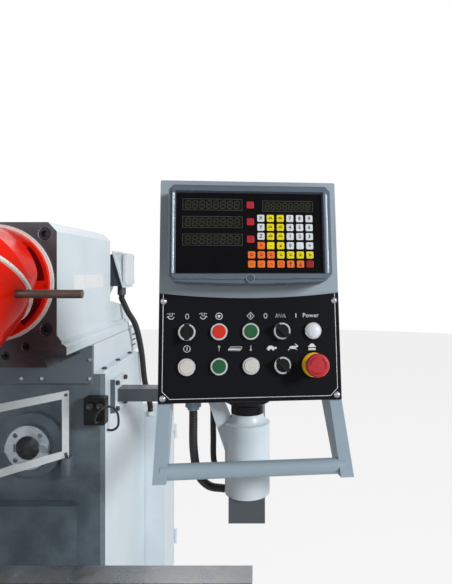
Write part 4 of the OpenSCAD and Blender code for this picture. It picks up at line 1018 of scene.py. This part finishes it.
# Emergency stop: a mushroom head on its foot.
dome = arc(102, lower + 1.8, 4.6, 0, 180, 12, 0.9)
patch(ink, [(95.2, lower + 1.4), (95.6, lower), (108.4, lower), (108.8, lower + 1.4)] + dome)
patch(ink, [(95.4, lower - 4.8), (108.6, lower - 4.8), (107.6, lower - 1.6), (96.4, lower - 1.6)])
laid(ink, "panel_symbols", "pendant", "white_ink", on_panel(plate_ink_out))
print("symbols on the plate")

# %% [markdown]
# The emergency stop is freed by a twist. Three arrows on its red head say which way, as on any
# such button, and they ride with the head when it is pushed.

# %% Twist marks of the emergency stop
marks = bmesh.new()
mark_reach = 12.6
for start_at in (100, 220, 340):
    line(marks, arc(0, 0, mark_reach, start_at, start_at + 80, 14), 1.5, thick=0.5)
for toe in (140, 260, 20):
    x, y = arc(0, 0, mark_reach, toe, toe, 1)[0]
    patch(marks, arc(x, y, 1.7, toe - 90, toe + 150, 3)[:-1], 0.5)
laid(marks, "twist_marks", "estop_head", "twist_mark",
     pendant_frame @ at(104, -127.5, stop_mark_out))
print("twist marks")

# %% [markdown]
# The digital readout has four dark display windows. Unlit, their seven-segment digits still show
# faintly. Each digit is seven slim hexagonal bars, copied along the window, all in one mesh.

# %% Displays of the readout
windows = [(-110.5, -14.5, 123.9, 142.4), (-110.5, -14.5, 94.9, 113.4),
           (-110.5, -14.5, 65.9, 84.4), (19, 102, 122.8, 140.4)]
boards, frames, digits = bmesh.new(), bmesh.new(), bmesh.new()
bar_half, lean, digits_in_row = 0.85, 0.5, 8


def oblong(x0, x1, y0, y1, margin=0.0):
    """The corners of an oblong, drawn in by a margin."""
    x0, x1, y0, y1 = x0 + margin, x1 - margin, y0 + margin, y1 - margin
    return [(x0, y0), (x1, y0), (x1, y1), (x0, y1)]


def bar(x0, y0, x1, y1):
    """One segment of a digit: a slim bar with pointed ends."""
    a, b = Vector((x0, y0)), Vector((x1, y1))
    along = (b - a).normalized() * bar_half
    aside = Vector((-along.y, along.x))
    patch(digits, [a, a + along + aside, b - along + aside, b, b - along - aside,
                   a + along - aside], 0.1)


for x0, x1, y0, y1 in windows:
    patch(boards, oblong(x0, x1, y0, y1, 0.1), 0.2)
    line(frames, oblong(x0, x1, y0, y1), 0.7, closed=True, thick=0.3)
    pitch = (x1 - x0 - 6) / digits_in_row
    w, h = pitch * 0.32, (y1 - y0) / 2 - 3.2
    for i in range(digits_in_row):
        cx, cy = x0 + 3 + pitch * (i + 0.5), (y0 + y1) / 2
        for y in (-h, 0, h):
            shift = lean * y / h
            bar(cx - w + 0.4 + shift, cy + y, cx + w - 0.4 + shift, cy + y)
        for x in (cx - w, cx + w):
            bar(x, cy + 0.4, x + lean, cy + h - 0.4)
            bar(x - lean, cy - h + 0.4, x, cy - 0.4)
laid(boards, "display_boards", "pendant", "display_board", on_panel(board_out))
laid(digits, "display_digits", "pendant", "display_segment", on_panel(digit_out))
laid(frames, "display_frames", "pendant", "display_frame", on_panel(display_frame_out))
print("displays:", len(windows))

# %% [markdown]
# The keys are small soft caps in a few colours. Each cap is a bevelled block that fits round
# the key of the CAD solid, and the keys of one colour are one mesh.

# %% Keys
def block(bm, size, centre):
    made = bmesh.ops.create_cube(bm, size=1.0)["verts"]
    bmesh.ops.scale(bm, vec=size, verts=made)
    bmesh.ops.translate(bm, vec=centre, verts=made)
    return made


def soften(bm, wanted, by, steps):
    """Bevels the edges for which wanted says yes."""
    edges = [e for e in bm.edges if wanted(*(v.co.z for v in e.verts))]
    bmesh.ops.bevel(bm, geom=edges, offset=by, segments=steps, profile=0.5,
                    affect="EDGES", material=-1)


def upright(a, b):
    return abs(a - b) > 0.3


key_columns = [0, 15.7, 31.3, 47.6, 63.5, 79.5, 95.4]
key_rows = [111, 96, 81, 65.7, 50.4, 35.4]
key_colours = [" WYYWWW", " WYYWWW", " WYYWWW", " OYYWWW", "OOOYYYY", "OOOOOOC"]
axis_x, axis_rows = -1.4, {"X": 133, "Y": 105, "Z": 76}
key_finishes = {"Y": ("yellow_keys", "#d6c805"), "W": ("white_keys", "#c8cdd3"),
                "O": ("orange_keys", "#de671b"), "C": ("crimson_key", "#880815"),
                "R": ("red_keys", "#a71326")}
places = [(x, y, kind) for y, row in zip(key_rows, key_colours)
          for x, kind in zip(key_columns, row) if kind != " "]
places += [(axis_x, y, "R") for y in axis_rows.values()]
key_size, key_height = 11.7, 1.1
for letter, (name, code) in key_finishes.items():
    caps = bmesh.new()
    for x, y, kind in places:
        if kind == letter:
            block(caps, (key_size, key_size, key_height), (x, y, key_height / 2))
    soften(caps, upright, 1.7, 3)
    soften(caps, lambda a, b: a > 1.0 and b > 1.0, 0.35, 2)
    finish[name] = plastic(name, code, rough=0.38, spread=0.05, edge=0.1)
    laid(caps, name, "pendant", name, on_panel(key_out))
print("keys:", len(places))

# %% [markdown]
# The signs on the keys are plain: digits, the letters of the axes, arithmetic signs, arrows and
# a few strokes that stand for functions.

# %% Signs on the keys
legends = bmesh.new()
for row, y in zip((" X  789", " Y  456", " Z  123", " +-x0.="), key_rows):
    for sign, x in zip(row, key_columns):
        if sign != " ":
            words(legends, sign, flat(x, y), 8.2, bold=0.22)
for sign, y in axis_rows.items():
    words(legends, sign, flat(axis_x, y), 7.6, bold=0.2)
last_row = key_rows[5]
for x, way in ((key_columns[4], 1), (key_columns[5], -1)):
    line(legends, [(x, last_row - 3), (x, last_row + 3)], 1.6)
    head, tip = last_row + way, last_row + way * 3.4
    line(legends, [(x - 2.4, head), (x, tip), (x + 2.4, head)], 1.4)
for x in key_columns[2:4]:
    for y in key_rows[:3]:
        line(legends, [(x - 3.2, y - 0.6), (x + 3.2, y - 0.6)], 1.2)
        line(legends, arc(x, y - 0.4, 2.6, 20, 160, 8), 1.1)
line(legends, ring(key_columns[3], last_row, 2.8, 14), 0.8, closed=True)
x = key_columns[1]
line(legends, [(x - 2.3, last_row - 2), (x + 2.3, last_row + 2.2)], 0.9)
x = key_columns[2]
line(legends, [(x - 2.3, last_row - 2), (x, last_row + 2), (x + 2.3, last_row - 2)], 0.9)
for x in key_columns:
    y = key_rows[4]
    line(legends, [(x - 2.8, y + 1.6), (x + 2.4, y + 1.6)], 1.2)
    line(legends, [(x - 0.6, y - 1.4), (x + 2.8, y - 1.4)], 1.2)
    line(legends, [(x - 2.0, y - 2.0), (x + 0.6, y + 0.2)], 0.9)
for x in (key_columns[0], key_columns[6]):
    line(legends, [(x - 2.4, last_row), (x + 2.4, last_row)], 0.8)
laid(legends, "key_signs", "pendant", "dark_ink", on_panel(key_sign_out))
print("signs on the keys")

# %% [markdown]
# Two scale rings let the head be set to an angle. The first lies flat on the ram's face, and the
# second is the cream band round the sloping joint. A line stands at every degree, longer at
# every fifth, and the band has a number at every tenth. A short block is made for each line and
# turned into place.

# %% Graduations
def ticks(bm, radius, long, deep, rim):
    """A line for each degree. On a rim the lines stand on the edge; otherwise on the flat face."""
    wide = 0.35
    for degree in range(360):
        size = long if degree % 5 == 0 else long * 0.55
        if rim:
            made = block(bm, (deep, wide, size), (radius, 0, -0.6 - size / 2))
        else:
            made = block(bm, (size, wide, deep), (radius - size / 2, 0, 0))
        bmesh.ops.rotate(bm, cent=(0, 0, 0), matrix=turn(degree, "Z").to_3x3(), verts=made)


face_marks = bmesh.new()
face_radius = 149.4
ticks(face_marks, face_radius, 4.6, 0.12, rim=False)
laid(face_marks, "ram_ring_lines", "ram", "dark_ink",
     at(0, -380, 1734) @ turn(90, "X"))

rim_marks = bmesh.new()
rim_radius = 148.0
ticks(rim_marks, rim_radius, 4.4, 0.16, rim=True)
for tens in range(0, 360, 10):
    number = min(tens, 360 - tens)
    outside = Matrix.Translation((rim_radius, 0, -7.0))
    stand = turn(tens, "Z") @ outside @ turn(90, "Z") @ turn(90, "X")
    words(rim_marks, str(number), stand, 4.0)
laid(rim_marks, "swivel_ring_lines", "first_swivel", "dark_ink",
     at(0, -511, 1725) @ turn(135, "X"))
print("graduations on two rings")

# %% [markdown]
# Two plain plates are riveted side by side on the ram's flank. They are left without a word, as
# thin brushed sheet with rounded corners and a rivet at each end.

# %% Bare plates on the ram
ram_flank = at(156, 0, 0) @ turn(90, "Z") @ turn(90, "X")
plate_height, plate_thick, plate_out, plate_z = 42, 0.5, 0.27, 1732
rivet_radius, rivet_out = 1.3, 0.6
for name, y0, y1 in (("ram_plate_short", -250, -163), ("ram_plate_long", -158, 10)):
    sheet = bmesh.new()
    block(sheet, (y1 - y0, plate_height, plate_thick), ((y0 + y1) / 2, plate_z, plate_out))
    soften(sheet, upright, 2.5, 4)
    for y in (y0 + 4, y1 - 4):
        for z in (plate_z - 16, plate_z + 16):
            rivet = bmesh.ops.create_uvsphere(sheet, u_segments=12, v_segments=6,
                                              radius=rivet_radius)
            bmesh.ops.scale(sheet, vec=(1, 1, 0.5), verts=rivet["verts"])
            bmesh.ops.translate(sheet, vec=(y, z, rivet_out), verts=rivet["verts"])
    laid(sheet, name, "ram", "plate_sheet", ram_flank)
print("plates on the ram")

# %% [markdown]
# The readout's housing has a pale strip on the bevel at its left and right, a painted highlight
# where the bevels catch the light, and a fine raised line each side of the round cap in its chin.

# %% Trim of the readout housing
chin, cap, highlight_strips = bmesh.new(), bmesh.new(), bmesh.new()
cap_x, chin_y = -2.5, 11.6
line(chin, [(-68, chin_y), (-11.5, chin_y)], 0.8, thick=0.6)
line(chin, [(6.5, chin_y), (64, chin_y)], 0.8, thick=0.6)
line(chin, ring(cap_x, chin_y, 6.7, 32), 1.3, closed=True, thick=0.9)
patch(cap, ring(cap_x, chin_y, 6.2, 32), 0.4)
# Pale strips on the housing's bevels: a painted highlight.
for x in (-125.2, 123.8):
    block(highlight_strips, (3.0, 132, 0.9), (x, 86, 0))
soften(highlight_strips, upright, 1.4, 4)
soften(highlight_strips, lambda a, b: a > 0.4 and b > 0.4, 0.4, 2)
laid(chin, "readout_chin_lines", "pendant", "dro_line", on_panel(chin_out))
laid(cap, "readout_chin_cap", "pendant", "dro_cap", on_panel(chin_cap_out))
laid(highlight_strips, "readout_highlight_strips", "pendant", "polished_bevel", on_panel(bevel_out))
print("trim of the readout")

# %% [markdown]
# The switch box has two round plugs, each with a knurled ring, and the thin cable leaves the
# box through a tapered boot, which keeps it from kinking at the housing. Both are turned parts,
# so a half outline spun round its axis gives them.

# %% Plugs of the switch box
def spun(outline):
    """Spins an outline of (radius, height) points round the Z axis."""
    bm = bmesh.new()
    chain = [bm.verts.new((r, 0, h)) for r, h in outline]
    edges = [bm.edges.new(pair) for pair in zip(chain, chain[1:])]
    bmesh.ops.spin(bm, geom=chain + edges, cent=(0, 0, 0), axis=(0, 0, 1),
                   angle=math.radians(360), steps=32, use_merge=True)
    bmesh.ops.remove_doubles(bm, verts=bm.verts, dist=0.01)
    return bm


def facing_front(x, y, z):
    """A frame whose Z axis points at the machine's front."""
    return at(x, y, z) @ turn(90, "X")


plug = [(0.01, 0.6), (5.5, 0.6), (6.0, 1.6), (8.6, 1.8), (9.4, 1.2), (9.6, 0.02), (0.01, 0.02)]
for name, x in (("plug_ring_1", 180), ("plug_ring_2", 209)):
    laid(spun(plug), name, "frame", "plug_ring", facing_front(x, -194, 1370),
         smooth=True)
boot = [(3.52, 0.2), (5.8, 0.2), (5.8, 3.0), (5.0, 3.6), (5.4, 5.0), (4.7, 6.4), (5.0, 8.0),
        (4.3, 9.6), (4.5, 11.2), (3.9, 13.0), (3.52, 13.0), (3.52, 0.2)]
laid(spun(boot), "switch_cable_boot", "frame", "black_plastic",
     facing_front(204, -197, 1328), smooth=True)
print("plugs and boot")

# %% [markdown]
# The studio is a plain pale floor under soft light. One strong lamp far off to the right gives
# the shadows their side, a broad weak one opens them from the left front, and a third draws the
# top edges from behind. The world lights all sides a little. The background reads as white
# because camera, mirror and glass rays see a white world and a pale floor, so that no extra
# lamp has to burn them out.

# %% Lamps
def soft_lamp(name, stand_at, look_at, size, power):
    data = bpy.data.lights.new(name, "AREA")
    data.shape = "DISK"
    data.size = size
    data.energy = power
    lamp = new_object(name, data)
    lamp.location = stand_at
    aim = Vector(look_at) - Vector(stand_at)
    lamp.rotation_euler = aim.to_track_quat("-Z", "Y").to_euler()


soft_lamp("lamp_right", (5.2, -3.9, 3.7), (0.3, -0.3, 1.4), size=1.6, power=375)
soft_lamp("lamp_left_front", (-2.4, -4.0, 3.0), (0.2, -0.3, 1.4), size=3.0, power=25)
soft_lamp("lamp_top_back", (0.5, 2.5, 4.4), (0.0, 0.0, 1.4), size=2.5, power=36)
print("lamps:", len(bpy.data.lights))

# %% World
def seen_directly(tree):
    """1 for the rays that show the backdrop itself: camera, mirror and glass rays."""
    path = tree.nodes.new("ShaderNodeLightPath")
    seen = path.outputs["Is Camera Ray"]
    for kind in ("Is Glossy Ray", "Is Transmission Ray"):
        seen = calc(tree, "MAXIMUM", seen, path.outputs[kind])
    return seen


def mix_shaders(tree, share, first, second, target):
    mix = tree.nodes.new("ShaderNodeMixShader")
    join(tree, share, mix.inputs[0])
    join(tree, first.outputs[0], mix.inputs[1])
    join(tree, second.outputs[0], mix.inputs[2])
    join(tree, mix.outputs[0], target)


world = bpy.data.worlds.new("studio")
bpy.context.scene.world = world
world.use_nodes = True
tree = world.node_tree
tree.nodes.clear()
light = tree.nodes.new("ShaderNodeBackground")
white = tree.nodes.new("ShaderNodeBackground")
for shader, strength in ((light, 0.12), (white, 1.0)):
    shader.inputs["Color"].default_value = (1, 1, 1, 1)
    shader.inputs["Strength"].default_value = strength
sky = tree.nodes.new("ShaderNodeOutputWorld")
mix_shaders(tree, seen_directly(tree), light, white, sky.inputs["Surface"])
print("world:", world.name)

# %% Floor
floor_grey, floor_whiteness = 0.86, 0.84
floor_radius = 14
ground = bmesh.new()
bmesh.ops.create_circle(ground, cap_ends=True, cap_tris=False, segments=64,
                         radius=floor_radius)
mesh = bpy.data.meshes.new("floor")
ground.to_mesh(mesh)
ground.free()
floor = new_object("floor", mesh)
floor.location.z = -0.5 * MM
material, tree, shader = start("floor")
shader.inputs["Base Color"].default_value = (floor_grey, floor_grey, floor_grey, 1)
shader.inputs["Roughness"].default_value = 0.8
glow = tree.nodes.new("ShaderNodeEmission")
glow.inputs["Strength"].default_value = 1.0
share = calc(tree, "MULTIPLY", seen_directly(tree), floor_whiteness)
mix_shaders(tree, share, shader, glow, tree.nodes["Material Output"].inputs["Surface"])
floor.data.materials.append(material)
print("floor radius", floor_radius, "m")

# %% [markdown]
# Last, the view layer is brought up to date.

# %% Finish
bpy.context.view_layer.update()
